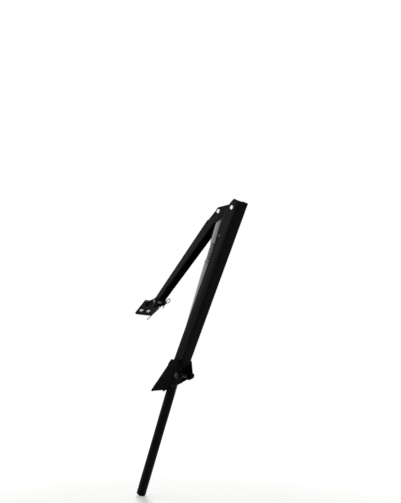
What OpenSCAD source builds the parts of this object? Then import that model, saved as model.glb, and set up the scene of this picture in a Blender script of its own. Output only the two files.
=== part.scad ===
// Heat-driven vent opener: a wax cylinder pushes a strut that spreads two hinged channel arms.
// Millimetres and degrees. +Z is up, +X points into the room and Y runs along the hinge pins.
// The origin is the middle of the two sill holes, on the face that lies against the sill.

/* [Pose] */
// Slope of the sill face above the horizontal
sill_slope = 37.7; // [20:0.1:50]
// Lean of the base arm from the vertical, towards the room
base_lean = 32.87; // [25:0.01:40]
// Angle between the two arms
arm_spread = 23.06; // [17:0.01:29]
// Turn of the window bracket against the top arm
sash_turn = 6.45; // [0:0.05:15]

/* [Base arm] */
// Depth of the base arm's channel
base_depth = 24.5; // [22:0.5:28]
// Sheet thickness of the base arm
base_sheet = 1.5; // [1:0.1:2.5]
// Outer bend radius of the base arm
base_bend = 5.5; // [4:0.5:6]
// Distance of the apex pivot above the base pivot
apex_reach = 319.45; // [300:0.05:350]
// Distance of the apex pivot from the outer face of the web
apex_inset = 14.75; // [12:0.25:17]
// Length of channel above the apex pivot
base_overhang = 15.5; // [13:0.5:20]
// Height of the lower edge of the web above the base pivot
web_foot = 18; // [14:0.5:24]
// Depth of the flanges below the base pivot
flange_foot = 22; // [18:0.5:30]
// Distance of the base pivot from the middle of the channel
pivot_offset = 22; // [19:0.5:26]
// Height of the base pivot above the foot of the strut
pivot_rise = 2; // [0:0.5:4]
// Radius of the ear around the base pivot
base_ear_r = 8; // [7:0.5:9]
// Extra depth of the flanges beside the push pin
brow_depth = 6.5; // [3:0.5:8]
// Height at which the flanges start to deepen towards the push pin
brow_foot = 228; // [210:1:240]
// Height of the spacer rivet above the base pivot
spacer_height = 265; // [240:1:275]
// Distance of the spacer rivet from the middle of the channel
spacer_inset = 5.5; // [3:0.5:7]

/* [Top arm] */
// Depth of the top arm's channel at the corner plate
top_depth = 21.5; // [19:0.5:23]
// Depth of the top arm's channel at the window end
top_tail_depth = 12; // [10:0.5:14]
// Sheet thickness of the top arm
top_sheet = 1.2; // [1:0.1:2]
// Outer bend radius of the top arm
top_bend = 3; // [2.5:0.5:5]
// Distance of the push pin from the outer face of the top arm's web
top_inset = 14.5; // [13:0.25:16]
// Sideways distance of the push pin from the apex pivot
push_offset = 26.5; // [24:0.5:30]
// Distance of the push pin below the apex pivot, along the top arm
push_drop = 29.3; // [25:0.1:34]
// Sideways distance of the window pivot from the apex pivot
window_offset = 32; // [29:0.5:34]
// Distance of the window pivot below the apex pivot, along the top arm
top_reach = 276; // [260:0.1:290]
// Radius of the ears around the apex and push pins
top_ear_r = 8; // [6.5:0.5:9]
// Depth of the corner plate below the apex pivot
gusset_drop = 54; // [48:1:58]
// Cutback of the top arm's web below the apex pivot
top_web_cut = 61; // [59:1:70]

/* [Pins] */
// Diameter of the apex, push and window pins
pin_d = 6; // [5:0.5:7]
// Diameter of the base pivot bolt
bolt_d = 6; // [5:0.5:7]
// Diameter of the pin heads
pin_head_d = 8; // [7.5:0.5:9.5]
// Height of the domed pin heads
pin_head_h = 1.8; // [1.4:0.1:2.4]
// Diameter of the roller on the push pin
roller_d = 10; // [9:0.5:12]
// Diameter of the spacer rivet
spacer_d = 4; // [3:0.5:5]
// Thickness of the washers beside the base pivot
washer_t = 0.8; // [0.6:0.1:1.5]

/* [Strut] */
// Distance by which the strut aims past the push pin, towards the room
push_aim = 2.6; // [2:0.1:3.2]
// Distance of the strut from the middle of the channel at the base pivot's height
strut_shift = 4; // [3:0.5:5]
// Outer diameter of the push tube
tube_d = 15; // [14:0.25:16]
// Wall of the push tube
tube_wall = 1; // [0.8:0.1:1.2]
// Height of the upper end of the push tube above the strut's origin
tube_top = 206; // [195:1:215]
// Diameter of the adjuster's thread
thread_d = 13.5; // [13.2:0.1:14]
// Length of the adjuster's thread above the push tube
thread_len = 40; // [30:1:45]
// Rise of the push tube from its closed seat
rest_lift = 16; // [15:0.5:18]
// Diameter of the push rod
rod_d = 15; // [14:0.25:15.25]
// Diameter of the adjuster's stub, inside the push rod
stub_d = 8; // [7:0.5:9]
// Thickness of the push cap
cap_t = 6; // [5:0.5:8]
// Diameter of the piston rod
piston_rod_d = 6; // [5:0.25:6.25]
// Outer diameter of the guide sleeve
sleeve_d = 9; // [8.5:0.25:9.25]
// Length of the guide sleeve above its seat
sleeve_len = 128; // [115:1:140]
// Wire of the return spring
spring_wire = 1.2; // [1:0.1:1.3]
// Turns of the return spring
spring_turns = 14; // [10:1:18]

/* [Cylinder] */
// Outer diameter of the wax cylinder
cylinder_d = 18; // [15:0.5:18]
// Wall of the wax cylinder
cylinder_wall = 1.2; // [1:0.1:1.5]
// Length of the wax cylinder's tube
cylinder_len = 221; // [200:1:240]
// Length of the shoulder between the cylinder and its lock nut
shoulder_len = 6; // [4:0.5:8]
// Diameter of the threaded nose
nose_d = 12; // [11:0.5:13]
// Length of the holder along the strut
holder_len = 24; // [20:0.5:28]
// Depth of the holder across the strut
holder_depth = 17; // [16:0.5:19]
// Distance of the piston below the shoulder
piston_drop = 86; // [80:1:92]
// Length of the piston
piston_len = 12; // [10:0.5:14]

/* [Base bracket] */
// Thickness of the bracket's plate
bracket_t = 2.5; // [2:0.1:3]
// Length of the bracket's sill face
sill_face_len = 70; // [64:1:76]
// Distance between the sill holes
sill_hole_gap = 40; // [30:1:46]
// Diameter of the sill holes
sill_hole_d = 5.5; // [4.5:0.1:7]
// Distance of the base pivot from the hole pattern, along the sill face
pivot_run = 53; // [50:0.5:57]
// Distance of the base pivot below the sill face
pivot_drop = 39.1; // [37:0.1:43]
// Outer bend radius of the bracket
bracket_bend = 5; // [4:0.5:6]

/* [Window bracket] */
// Width of the window plate
plate_w = 43; // [38:0.5:50]
// Length of the window plate
plate_len = 50; // [44:0.5:58]
// Thickness of the window plate
plate_t = 2; // [1.5:0.1:3]
// Distance of the plate from the window pivot
plate_stand = 12; // [11:0.5:15]
// Distance of the plate's upper edge below the window pivot
plate_drop = 15; // [13:0.5:18]
// Diameter of the plate's rolled upper edge
lip_d = 3.2; // [2.8:0.2:3.6]
// Distance between the window screws
screw_gap = 17; // [16:0.5:20]
// Sideways offset of the window screws from the plate's middle line
screw_shift = -5.5; // [-6.5:0.5:-4]
// Diameter of the window screws
screw_d = 4; // [3.5:0.1:5]
// Length of the window screws beyond the plate
screw_len = 10; // [9:0.5:20]
// Diameter of the screws' necks, inside the plate
screw_neck = 4.6; // [4.2:0.1:5.5]
// Wire of the retaining clip
clip_wire = 1.8; // [1.6:0.1:2.2]
// Length of the retaining clip's straight leg below the window pivot
clip_leg = 76; // [60:1:80]
// Turn of the retaining clip about the window pivot
clip_turn = 6.4; // [4:0.2:8]

/* [Hidden] */
$fn = 48;

// Finishes
black_paint = [0.07, 0.07, 0.075];
zinc = [0.75, 0.76, 0.78];
dark_steel = [0.3, 0.3, 0.32];
brass = [0.72, 0.6, 0.32];
wax_tone = [0.85, 0.8, 0.62];
rubber_tone = [0.05, 0.05, 0.05];
nylon_tone = [0.85, 0.84, 0.8];

// Clearances
running = 0.05;
strut_gap = 0.5;
ear_gap = 0.4;
seat_gap = 0.02;
push_gap = 0.3;
washer_play = 0.1;
overlap = 1;

// Widths across the pins, from the strut outwards
top_inner = tube_d + 2 * strut_gap;
top_w = top_inner + 2 * top_sheet;
base_inner = top_w + 2 * ear_gap;
base_w = base_inner + 2 * base_sheet;
bracket_inner = base_w + 2 * (washer_t + 2 * washer_play);
bracket_w = bracket_inner + 2 * bracket_t;
ear_inner = top_w + 2 * strut_gap;
ear_w = ear_inner + 2 * plate_t;

// Turns a point about the Y axis
function turned(p, a) = [p[0] * cos(a) + p[2] * sin(a), p[1], p[2] * cos(a) - p[0] * sin(a)];

// The push pin seen from the strut, which sets the length of the push rod
push_at = [-push_offset, 0, -push_drop];
push_in_base = [0, 0, apex_reach] + turned(push_at, arm_spread);
strut_lean = atan2(-push_in_base[0] - strut_shift - push_aim, push_in_base[2]);
push_in_strut = turned(push_in_base + [strut_shift, 0, 0], strut_lean);
cap_top = push_in_strut[2] - roller_d / 2 - push_gap;

// Stations along the strut
holder_top = 2;
holder_foot = holder_top - holder_len;
tube_foot = holder_top + rest_lift;
tube_bore = tube_d - 2 * tube_wall;
bush_len = 10;
plug_len = 16;
plug_foot = tube_top - plug_len;
thread_top = tube_top + thread_len;
rod_seat = 14;
nut_h = 7.7;
spigot_d = stub_d * 0.625;
spigot_len = 3.5;
sleeve_head_t = 4;
sleeve_top = holder_top + sleeve_len;
sleeve_seat = 6;
lock_ring_t = 5;
lock_ring_d = nose_d * 1.5;
shoulder_top = holder_foot - lock_ring_t - 2 * seat_gap;
cylinder_top = shoulder_top - shoulder_len;
cylinder_foot = cylinder_top - cylinder_len;
cylinder_bore = cylinder_d - 2 * cylinder_wall;
gland_len = 16;
seal_len = 4;
seal_d = piston_rod_d * 1.6;
end_cap_t = 3;
end_plug_len = 7;
piston_top = shoulder_top - piston_drop;
piston_foot = piston_top - piston_len;
wax_foot = cylinder_foot + end_plug_len + seat_gap;

// Lines of the arms
base_top = apex_reach + base_overhang;
base_free = apex_inset - base_depth;
base_chamfer = [6.5, 10];
brow_crown = [35, 19];
top_web_x = -push_offset - top_inset;
top_free_x = top_web_x + top_depth;
top_tail_x = top_web_x + top_tail_depth;
window_at = [-window_offset, 0, -top_reach];
top_web_drop = 4;
top_tail_rise = 14;
gusset_knee = [-0.44 * push_offset, -1.2 * push_drop];

// Places of the pivots
pivot_in_bracket = [pivot_run, 0, -pivot_drop];
base_pivot = turned(pivot_in_bracket, -sill_slope);

apex_pivot = base_pivot + turned([-pivot_offset, 0, apex_reach - pivot_rise], base_lean);
push_pivot = apex_pivot + turned(push_at, base_lean + arm_spread);
window_pivot = apex_pivot + turned(window_at, base_lean + arm_spread);
sash_lean = base_lean + arm_spread + sash_turn;
plate_back = -plate_stand - plate_t;
screw_rise = plate_len * 0.34;
window_face = window_pivot + turned([plate_back, 0, -plate_drop - plate_len / 2], sash_lean);
screws_mid = window_pivot + turned([plate_back, screw_shift, screw_rise - plate_drop - plate_len], sash_lean);
strut_axis = turned([0, 0, 1], base_lean - strut_lean);
echo(base_pivot = base_pivot, apex_pivot = apex_pivot);
echo(push_pivot = push_pivot, window_pivot = window_pivot);
echo(strut_axis = strut_axis, strut_lean = strut_lean);
echo(window_face = window_face, screws_mid = screws_mid, window_normal = turned([-1, 0, 0], sash_lean));

module in_bracket() { rotate([0, -sill_slope, 0]) children(); }
module in_base_arm() {
  translate(base_pivot) rotate([0, base_lean, 0]) translate([-pivot_offset, 0, -pivot_rise]) children();
}
module in_strut() { in_base_arm() translate([-strut_shift, 0, 0]) rotate([0, -strut_lean, 0]) children(); }
module in_top_arm() { in_base_arm() translate([0, 0, apex_reach]) rotate([0, arm_spread, 0]) children(); }
module in_window() { in_top_arm() translate(window_at) rotate([0, sash_turn, 0]) children(); }

// A folded channel section: its web's outer face is at x = 0 and its flanges point along -x
module channel_section(w, depth, sheet, bend) {
  translate([-sheet, bend - w / 2]) square([sheet, w - 2 * bend]);
  for (side = [0, 1]) mirror([0, side]) {
    translate([-depth, w / 2 - sheet]) square([depth - bend, sheet]);
    translate([-bend, w / 2 - bend]) intersection() {
      difference() {
        circle(bend);
        circle(bend - sheet);
      }
      square(bend);
    }
  }
}

// A flat outline in x and z, made a plate between y and y + t
module plate_at(y, t) {
  translate([0, y + t, 0]) rotate([90, 0, 0]) linear_extrude(t) children();
}

// The same outline on both sides, with outer faces w apart
module plate_pair(w, t) {
  plate_at(w / 2 - t, t) children();
  plate_at(-w / 2, t) children();
}

// A bar with round ends between two points
module round_bar(a, b, r) {
  run = b - a;
  half = r * 0.99;
  translate(a) circle(r);
  translate(b) circle(r);
  translate(a) rotate(atan2(run[1], run[0])) translate([0, -half]) square([norm(run), 2 * half]);
}

// A hole or a pin along y through the point at x and z
module cross_rod(x, z, d, y0, y1) {
  translate([x, y0, z]) rotate([-90, 0, 0]) cylinder(d = d, h = y1 - y0);
}

// A domed head on the -y side, standing on the plane y
module domed_head(x, z, y, d, h) {
  rim = h * 0.35;
  crown = h - rim;
  dome_r = (d * d / 4 + crown * crown) / (2 * crown);
  translate([x, y, z]) rotate([90, 0, 0]) rotate_extrude() intersection() {
    square([d / 2, h]);
    translate([0, h - dome_r]) circle(dome_r, $fn = 96);
  }
}

// A tube standing on z = low
module pipe(low, high, outer, inner) {
  translate([0, 0, low]) difference() {
    cylinder(d = outer, h = high - low);
    translate([0, 0, -overlap]) cylinder(d = inner, h = high - low + 2 * overlap);
  }
}

// A six-sided nut standing on z = low
module hex_nut(low, h, across, bore) {
  corner = across / cos(30);
  translate([0, 0, low]) difference() {
    cylinder(d = corner, h = h, $fn = 6);
    translate([0, 0, -overlap]) cylinder(d = bore, h = h + 2 * overlap);
  }
}

// Base bracket: a folded saddle with two cheeks
cheek_tip = -sill_face_len / 2;
cheek_front = 24;
cheek_nose = [5, -5.5];
cheek_brow = [18.5, 19.7];
cheek_r = 6.8;
// Lower corners of the cheeks; the one by the nut is cut back
head_cheek = [[5.4, -33.9], [13.6, -33.9]];
nut_cheek = [[7.5, -25.2]];

module cheek_outline(lower) {
  polygon(concat([[cheek_tip, -bracket_bend]], lower, [
    [pivot_run + cheek_nose[0], cheek_nose[1] - pivot_drop],
    [pivot_run + cheek_brow[0], cheek_brow[1] - pivot_drop], [pivot_run, -overlap],
    [pivot_run - cheek_front / 2, -overlap], [cheek_tip + sill_face_len, -bracket_bend]]));
  translate([pivot_run, -pivot_drop]) circle(cheek_r);
}

module base_bracket() {
  saddle_depth = 12;
  color(black_paint) in_bracket() difference() {
    union() {
      translate([cheek_tip, 0, 0]) rotate([0, 90, 0]) mirror([1, 0, 0]) linear_extrude(sill_face_len)
        channel_section(bracket_w, bracket_bend + overlap, bracket_t, bracket_bend);
      plate_at(bracket_w / 2 - bracket_t, bracket_t) cheek_outline(nut_cheek);
      plate_at(-bracket_w / 2, bracket_t) cheek_outline(head_cheek);
    }
    for (side = [-1, 1]) translate([side * sill_hole_gap / 2, 0, -saddle_depth])
      cylinder(d = sill_hole_d, h = 2 * saddle_depth);
    cross_rod(pivot_run, -pivot_drop, bolt_d + 2 * running, -bracket_w, bracket_w);
  }
}

// Base pivot: a bolt through both cheeks, held by a nut
bolt_across = bolt_d * 5 / 3;
bolt_head_h = bolt_d * 0.65;
pivot_nut_h = bolt_d * 0.8;
bolt_tail = 2;

module base_pivot_bolt() {
  tail = bracket_w / 2 + pivot_nut_h + bolt_tail;
  color(dark_steel) in_bracket() {
    cross_rod(pivot_run, -pivot_drop, bolt_d, -bracket_w / 2 - overlap, tail);
    translate([pivot_run, -bracket_w / 2 - seat_gap, -pivot_drop]) rotate([90, 0, 0])
      cylinder(d = bolt_across / cos(30), h = bolt_head_h, $fn = 6);
  }
}

module base_pivot_nut() {
  color(dark_steel) in_bracket() translate([pivot_run, bracket_w / 2 + seat_gap, -pivot_drop])
    rotate([-90, 0, 0]) hex_nut(0, pivot_nut_h, bolt_across, bolt_d + 2 * seat_gap);
}

module base_pivot_washers() {
  washer_d = bolt_d * 2.2;
  gap_mid = (base_w + bracket_inner) / 4;
  color(nylon_tone) in_bracket() translate([pivot_run, 0, -pivot_drop]) rotate([-90, 0, 0])
    for (side = [-1, 1]) translate([0, 0, side * gap_mid])
      pipe(-washer_t / 2, washer_t / 2, washer_d, bolt_d + 2 * running);
}

// Base arm: a channel with its web towards the room
module base_flange_brow() {
  edge = base_free - brow_depth;
  crown = base_top - brow_crown[0];
  shoulder = base_top - base_chamfer[1];
  polygon([[base_free + overlap, brow_foot], [edge, crown - brow_crown[1]], [edge, crown],
    [base_free, shoulder], [base_free + overlap, shoulder]]);
}

module base_flange_foot() {
  translate([base_free, -flange_foot]) square([base_depth - base_bend, flange_foot + web_foot + overlap]);
  round_bar([pivot_offset, pivot_rise], [0, base_ear_r], base_ear_r);
}

module base_arm() {
  web_len = base_top - web_foot;
  color(black_paint) in_base_arm() difference() {
    union() {
      translate([apex_inset, 0, web_foot]) linear_extrude(web_len)
        channel_section(base_w, base_depth, base_sheet, base_bend);
      plate_pair(base_w, base_sheet) {
        base_flange_foot();
        base_flange_brow();
      }
    }
    plate_at(-base_w, 2 * base_w) polygon([[base_free - overlap, base_top + overlap],
      [base_free + base_chamfer[0], base_top + overlap], [base_free + base_chamfer[0], base_top],
      [base_free, base_top - base_chamfer[1]], [base_free - overlap, base_top]]);
    cross_rod(pivot_offset, pivot_rise, bolt_d + 2 * running, -base_w, base_w);
    cross_rod(0, apex_reach, pin_d + 2 * seat_gap, -base_w, base_w);
    cross_rod(-spacer_inset, spacer_height, spacer_d + 2 * seat_gap, -base_w, base_w);
    translate([-strut_shift, 0, 0]) rotate([0, -strut_lean, 0]) holder_rivet_rods(2 * seat_gap);
  }
}

module spacer_rivet() {
  head_d = spacer_d * 1.5;
  head_h = spacer_d * 0.28;
  color(zinc) in_base_arm() {
    cross_rod(-spacer_inset, spacer_height, spacer_d, -base_w / 2 - seat_gap, base_w / 2 + seat_gap);
    for (side = [0, 1]) mirror([0, side, 0])
      domed_head(-spacer_inset, spacer_height, -base_w / 2 - seat_gap, head_d, head_h);
  }
}

// Holder: a block between the flanges that carries the cylinder and the guide sleeve
rivet_d = 4;
rivet_depth = 2.4;
rivet_stations = [holder_foot + 6, holder_top - 5];

module holder_rivet_rods(extra) {
  for (z = rivet_stations, side = [0, 1]) mirror([0, side, 0])
    cross_rod(0, z, rivet_d + extra, base_inner / 2 - rivet_depth, base_w / 2 + extra);
}

module cylinder_holder() {
  color(black_paint) in_strut() difference() {
    translate([-holder_depth / 2, -base_inner / 2 + seat_gap, holder_foot])
      cube([holder_depth, base_inner - 2 * seat_gap, holder_len]);
    translate([0, 0, holder_foot - overlap])
      cylinder(d = nose_d + 2 * seat_gap, h = holder_len - sleeve_seat + overlap);
    translate([0, 0, holder_foot]) cylinder(d = sleeve_d + 2 * seat_gap, h = holder_len + overlap);
    holder_rivet_rods(2 * seat_gap);
  }
}

module holder_rivets() { color(dark_steel) in_strut() holder_rivet_rods(0); }

// Wax cylinder and what it holds
module wax_cylinder() {
  color(black_paint) in_strut() pipe(cylinder_foot, cylinder_top, cylinder_d, cylinder_bore);
}

module cylinder_end_cap() {
  color(black_paint) in_strut() {
    translate([0, 0, cylinder_foot - end_cap_t]) cylinder(d = cylinder_d, h = end_cap_t);
    translate([0, 0, cylinder_foot - overlap])
      cylinder(d = cylinder_bore - 2 * seat_gap, h = end_plug_len + overlap);
  }
}

module wax_charge() {
  color(wax_tone) in_strut() translate([0, 0, wax_foot])
    cylinder(d = cylinder_bore - 2 * running, h = piston_foot - wax_foot - seat_gap);
}

module cylinder_gland() {
  color(dark_steel) in_strut() difference() {
    union() {
      translate([0, 0, cylinder_top - gland_len])
        cylinder(d = cylinder_bore - 2 * seat_gap, h = gland_len + overlap);
      translate([0, 0, cylinder_top]) cylinder(d = cylinder_d, h = shoulder_len);
      translate([0, 0, shoulder_top - overlap])
        cylinder(d = nose_d, h = holder_top - sleeve_seat - shoulder_top + overlap - seat_gap);
    }
    translate([0, 0, cylinder_top - gland_len - overlap])
      cylinder(d = piston_rod_d + 4 * running, h = gland_len - cylinder_top + holder_top + 2 * overlap);
    translate([0, 0, cylinder_top - gland_len - overlap])
      cylinder(d = seal_d + 2 * seat_gap, h = seal_len + seat_gap + overlap);
  }
}

module gland_seal() {
  low = cylinder_top - gland_len;
  color(rubber_tone) in_strut() pipe(low, low + seal_len, seal_d, piston_rod_d + 2 * running);
}

module cylinder_lock_ring() {
  low = shoulder_top + seat_gap;
  color(black_paint) in_strut() pipe(low, low + lock_ring_t, lock_ring_d, nose_d + 2 * seat_gap);
}

module guide_sleeve() {
  color(zinc) in_strut()
    pipe(holder_top - sleeve_seat + seat_gap, sleeve_top, sleeve_d, piston_rod_d + 4 * running);
}

module sleeve_head() {
  low = sleeve_top - sleeve_head_t;
  color(zinc) in_strut() pipe(low, sleeve_top, tube_bore - 2 * push_gap, sleeve_d + 2 * seat_gap);
}

// Pushed pieces
module piston() {
  color(brass) in_strut() translate([0, 0, piston_foot])
    cylinder(d = cylinder_bore - 2 * running, h = piston_len);
}

module piston_rod() {
  color(zinc) in_strut() translate([0, 0, piston_top + seat_gap])
    cylinder(d = piston_rod_d, h = plug_foot - piston_top - 2 * seat_gap);
}

module push_tube() { color(zinc) in_strut() pipe(tube_foot, tube_top, tube_d, tube_bore); }

module tube_foot_bush() {
  color(nylon_tone) in_strut()
    pipe(tube_foot, tube_foot + bush_len, tube_bore - 2 * seat_gap, sleeve_d + 2 * running);
}

module adjuster_screw() {
  color(zinc) in_strut() {
    translate([0, 0, plug_foot]) cylinder(d = tube_bore - 2 * seat_gap, h = plug_len + overlap);
    translate([0, 0, tube_top + seat_gap]) cylinder(d = thread_d, h = thread_len - seat_gap);
    translate([0, 0, thread_top - overlap]) cylinder(d = stub_d, h = rod_seat + overlap);
  }
}

module push_rod() {
  shoulder = cap_top - cap_t - seat_gap;
  foot = thread_top + seat_gap;
  color(zinc) in_strut() difference() {
    union() {
      translate([0, 0, foot]) cylinder(d = rod_d, h = shoulder - foot);
      translate([0, 0, shoulder - overlap]) cylinder(d = spigot_d, h = spigot_len + overlap);
    }
    translate([0, 0, foot - overlap]) cylinder(d = stub_d + 2 * seat_gap, h = rod_seat + overlap + seat_gap);
  }
}

module adjuster_nut() {
  low = tube_top + seat_gap;
  color(zinc) in_strut() pipe(low, low + nut_h, tube_d, thread_d + 2 * seat_gap);
}

module push_cap() {
  cap_edge = 1;
  color(dark_steel) in_strut() difference() {
    union() {
      translate([0, 0, cap_top - cap_t]) cylinder(d = tube_d, h = cap_t - cap_edge);
      translate([0, 0, cap_top - 2 * cap_edge]) cylinder(d = tube_d - 2 * cap_edge, h = 2 * cap_edge);
    }
    translate([0, 0, cap_top - cap_t - overlap])
      cylinder(d = spigot_d + 2 * seat_gap, h = spigot_len + overlap + seat_gap);
  }
}

// Return spring: one wire wound round the guide sleeve, between the foot bush and the sleeve head
spring_rings = 8;
spring_sides = 6;
spring_r = (sleeve_d + tube_bore) / 4;
spring_low = tube_foot + bush_len + spring_wire / 2 + running;
spring_high = sleeve_top - sleeve_head_t - spring_wire / 2 - running;
spring_count = spring_turns * spring_rings;
spring_pitch = (spring_high - spring_low) / spring_turns;

function spring_point(i) = [spring_r * cos(360 * i / spring_rings), spring_r * sin(360 * i / spring_rings),
  spring_low + spring_pitch * i / spring_rings];
function spring_rim(i, j) = let(a = 360 * i / spring_rings, b = 360 * j / spring_sides, w = spring_wire / 2)
  spring_point(i) + [w * cos(b) * cos(a), w * cos(b) * sin(a), w * sin(b)];
function spring_gap() = min([for (i = [0:spring_count], k = [spring_rings - 2:spring_rings + 2])
  if (i + k <= spring_count) norm(spring_point(i + k) - spring_point(i))]) - spring_wire;

module return_spring() {
  n = spring_sides;
  rims = [for (i = [0:spring_count], j = [0:n - 1]) spring_rim(i, j)];
  walls = [for (i = [0:spring_count - 1], j = [0:n - 1]) let(a = i * n + j, b = i * n + (j + 1) % n)
    each [[a, a + n, b], [b, a + n, b + n]]];
  last = spring_count * n;
  ends = [for (j = [1:n - 2]) each [[0, j, j + 1], [last, last + j + 1, last + j]]];
  echo(spring_least_gap = spring_gap());
  color(zinc) in_strut() polyhedron(rims, concat(walls, ends));
}

// Top arm: a channel with its web towards the window, and ears that reach the apex pivot
module top_side() {
  ear_in = top_ear_r * 0.85;
  edge = top_web_x + top_bend + overlap / 2;
  web_low = -top_reach - top_web_drop;
  polygon([[top_web_x - overlap, -top_web_cut], [top_web_x - overlap, web_low],
    [-window_offset, web_low], [ear_in - window_offset, -top_reach],
    [top_tail_x, top_tail_rise - top_reach], [top_free_x, -gusset_drop], gusset_knee, [0, -ear_in], [0, 0],
    [-push_offset, -push_drop], [-push_offset - ear_in, -push_drop], [edge, -top_web_cut]]);
  translate([-window_offset, -top_reach]) circle(top_ear_r);
  round_bar([0, 0], [-push_offset, -push_drop], top_ear_r);
}

module top_arm() {
  span = push_offset + top_inset + 2 * top_ear_r;
  low = -top_reach - 2 * top_ear_r;
  color(black_paint) in_top_arm() difference() {
    intersection() {
      translate([top_web_x, 0, low]) linear_extrude(4 * top_ear_r - low) mirror([1, 0])
        channel_section(top_w, span, top_sheet, top_bend);
      plate_at(-top_w, 2 * top_w) top_side();
    }
    cross_rod(0, 0, pin_d + 2 * running, -top_w, top_w);
    cross_rod(-push_offset, -push_drop, pin_d + 2 * seat_gap, -top_w, top_w);
    cross_rod(-window_offset, -top_reach, pin_d + 2 * running, -top_w, top_w);
  }
}

// A headed pin along y: its head is on the -y side and its tail takes a push-on clip
pin_tail = 3.5;
clip_t = 1;
clip_d = 10;

module headed_pin(x, z, w) {
  cross_rod(x, z, pin_d, -w / 2 - seat_gap, w / 2 + pin_tail);
  domed_head(x, z, -w / 2 - seat_gap, pin_head_d, pin_head_h);
}

module push_on_clip(x, z, w) {
  translate([x, w / 2 + seat_gap, z]) rotate([-90, 0, 0]) rotate_extrude() difference() {
    polygon([[pin_d / 2 + seat_gap, 0], [clip_d / 2, 0], [clip_d / 2, clip_t],
      [pin_d / 2 + clip_t, 2 * clip_t], [pin_d / 2 + seat_gap, 2 * clip_t]]);
  }
}

module apex_pin() { color(zinc) in_base_arm() headed_pin(0, apex_reach, base_w); }
module apex_clip() { color(zinc) in_base_arm() push_on_clip(0, apex_reach, base_w); }
module push_pin() { color(zinc) in_top_arm() headed_pin(-push_offset, -push_drop, top_w); }
module push_clip() { color(zinc) in_top_arm() push_on_clip(-push_offset, -push_drop, top_w); }

module push_roller() {
  half = top_inner / 2 - strut_gap / 2;
  color(dark_steel) in_top_arm() translate([-push_offset, 0, -push_drop]) rotate([-90, 0, 0])
    pipe(-half, half, roller_d, pin_d + 2 * running);
}

module apex_sleeve() {
  half = top_inner / 2 - seat_gap;
  sleeve_wall = 1.5;
  color(nylon_tone) in_top_arm() rotate([-90, 0, 0])
    pipe(-half, half, pin_d + 2 * sleeve_wall, pin_d + 2 * running);
}

// Window bracket: a plate with two ears
ear_r = 7;
ear_base = 24;
lip_inset = 0.1;

module ear_outline() {
  plate_x = -plate_stand - plate_t / 2;
  polygon([[plate_x, -plate_drop], [plate_x, -plate_drop - ear_base], [ear_r * 0.7, -ear_r * 0.7],
    [-ear_r * 0.6, ear_r * 0.8]]);
  circle(ear_r);
}

module window_screw_places() {
  for (side = [-1, 1])
    translate([-plate_stand, screw_shift + side * screw_gap / 2, screw_rise - plate_drop - plate_len])
      rotate([0, -90, 0]) children();
}

module window_bracket() {
  corner = 5;
  color(black_paint) in_window() difference() {
    union() {
      translate([-plate_stand - plate_t, 0, -plate_drop]) rotate([90, 0, 90]) linear_extrude(plate_t) {
        translate([-plate_w / 2, corner - plate_len]) square([plate_w, plate_len - corner]);
        translate([corner - plate_w / 2, -plate_len]) square([plate_w - 2 * corner, plate_len]);
        for (side = [-1, 1]) translate([side * (plate_w / 2 - corner), corner - plate_len]) circle(corner);
      }
      translate([-plate_stand - lip_inset, 0, -plate_drop]) rotate([90, 0, 0])
        cylinder(d = lip_d, h = plate_w - 2 * lip_inset, center = true);
      plate_pair(ear_w, plate_t) ear_outline();
    }
    cross_rod(0, 0, pin_d + 2 * seat_gap, -ear_w, ear_w);
    window_screw_places() translate([0, 0, -overlap])
      cylinder(d = screw_neck + 2 * seat_gap, h = plate_t + 2 * overlap);
  }
}

clip_play = 1.5;
pin_end = 3;
clip_station = ear_w / 2 + clip_wire / 2 + clip_play;

module in_clip() { in_window() translate([0, clip_station, 0]) rotate([0, clip_turn, 0]) children(); }

module window_pin() {
  color(zinc) difference() {
    in_window() {
      cross_rod(0, 0, pin_d, -ear_w / 2 - seat_gap, clip_station + pin_end);
      domed_head(0, 0, -ear_w / 2 - seat_gap, pin_head_d, pin_head_h);
    }
    in_clip() translate([0, 0, -pin_d]) cylinder(d = clip_wire + 2 * seat_gap, h = 2 * pin_d);
  }
}

// A bent length of wire through the given points
module wire_through(points, d) {
  for (i = [0:len(points) - 2]) {
    run = points[i + 1] - points[i];
    translate(points[i]) rotate([0, atan2(run[0], run[2]), 0]) cylinder(d = d, h = norm(run));
  }
  for (p = points) translate(p) sphere(d = d * 1.06, $fn = 16);
}

// Retaining clip: a straight leg through the pin, an eye, and a leg that hugs the pin
module window_pin_clip() {
  eye_r = 2 * clip_wire;
  eye_rise = 2.5 * pin_d;
  hug = pin_d / 2 + clip_wire / 2 + push_gap;
  color(dark_steel) in_clip() {
    translate([0, 0, -clip_leg]) cylinder(d = clip_wire, h = clip_leg + eye_rise);
    translate([eye_r, 0, eye_rise]) rotate([90, 0, 0]) rotate_extrude(angle = 180)
      translate([eye_r, 0]) circle(d = clip_wire);
    wire_through([[2 * eye_r, 0, eye_rise], [hug, 0, pin_d * 0.7], [hug, 0, -pin_d * 0.5],
      [2 * eye_r, 0, -2 * pin_d]], clip_wire);
  }
}

module window_screws() {
  head_h = 2.2;
  head_d = screw_d * 2;
  color(zinc) in_window() window_screw_places() {
    translate([0, 0, -overlap]) cylinder(d = screw_d, h = plate_t + screw_len + overlap);
    translate([0, 0, -overlap]) cylinder(d = screw_neck, h = plate_t + overlap);
    rotate([90, 0, 0]) domed_head(0, 0, -seat_gap, head_d, head_h);
  }
}

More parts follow.
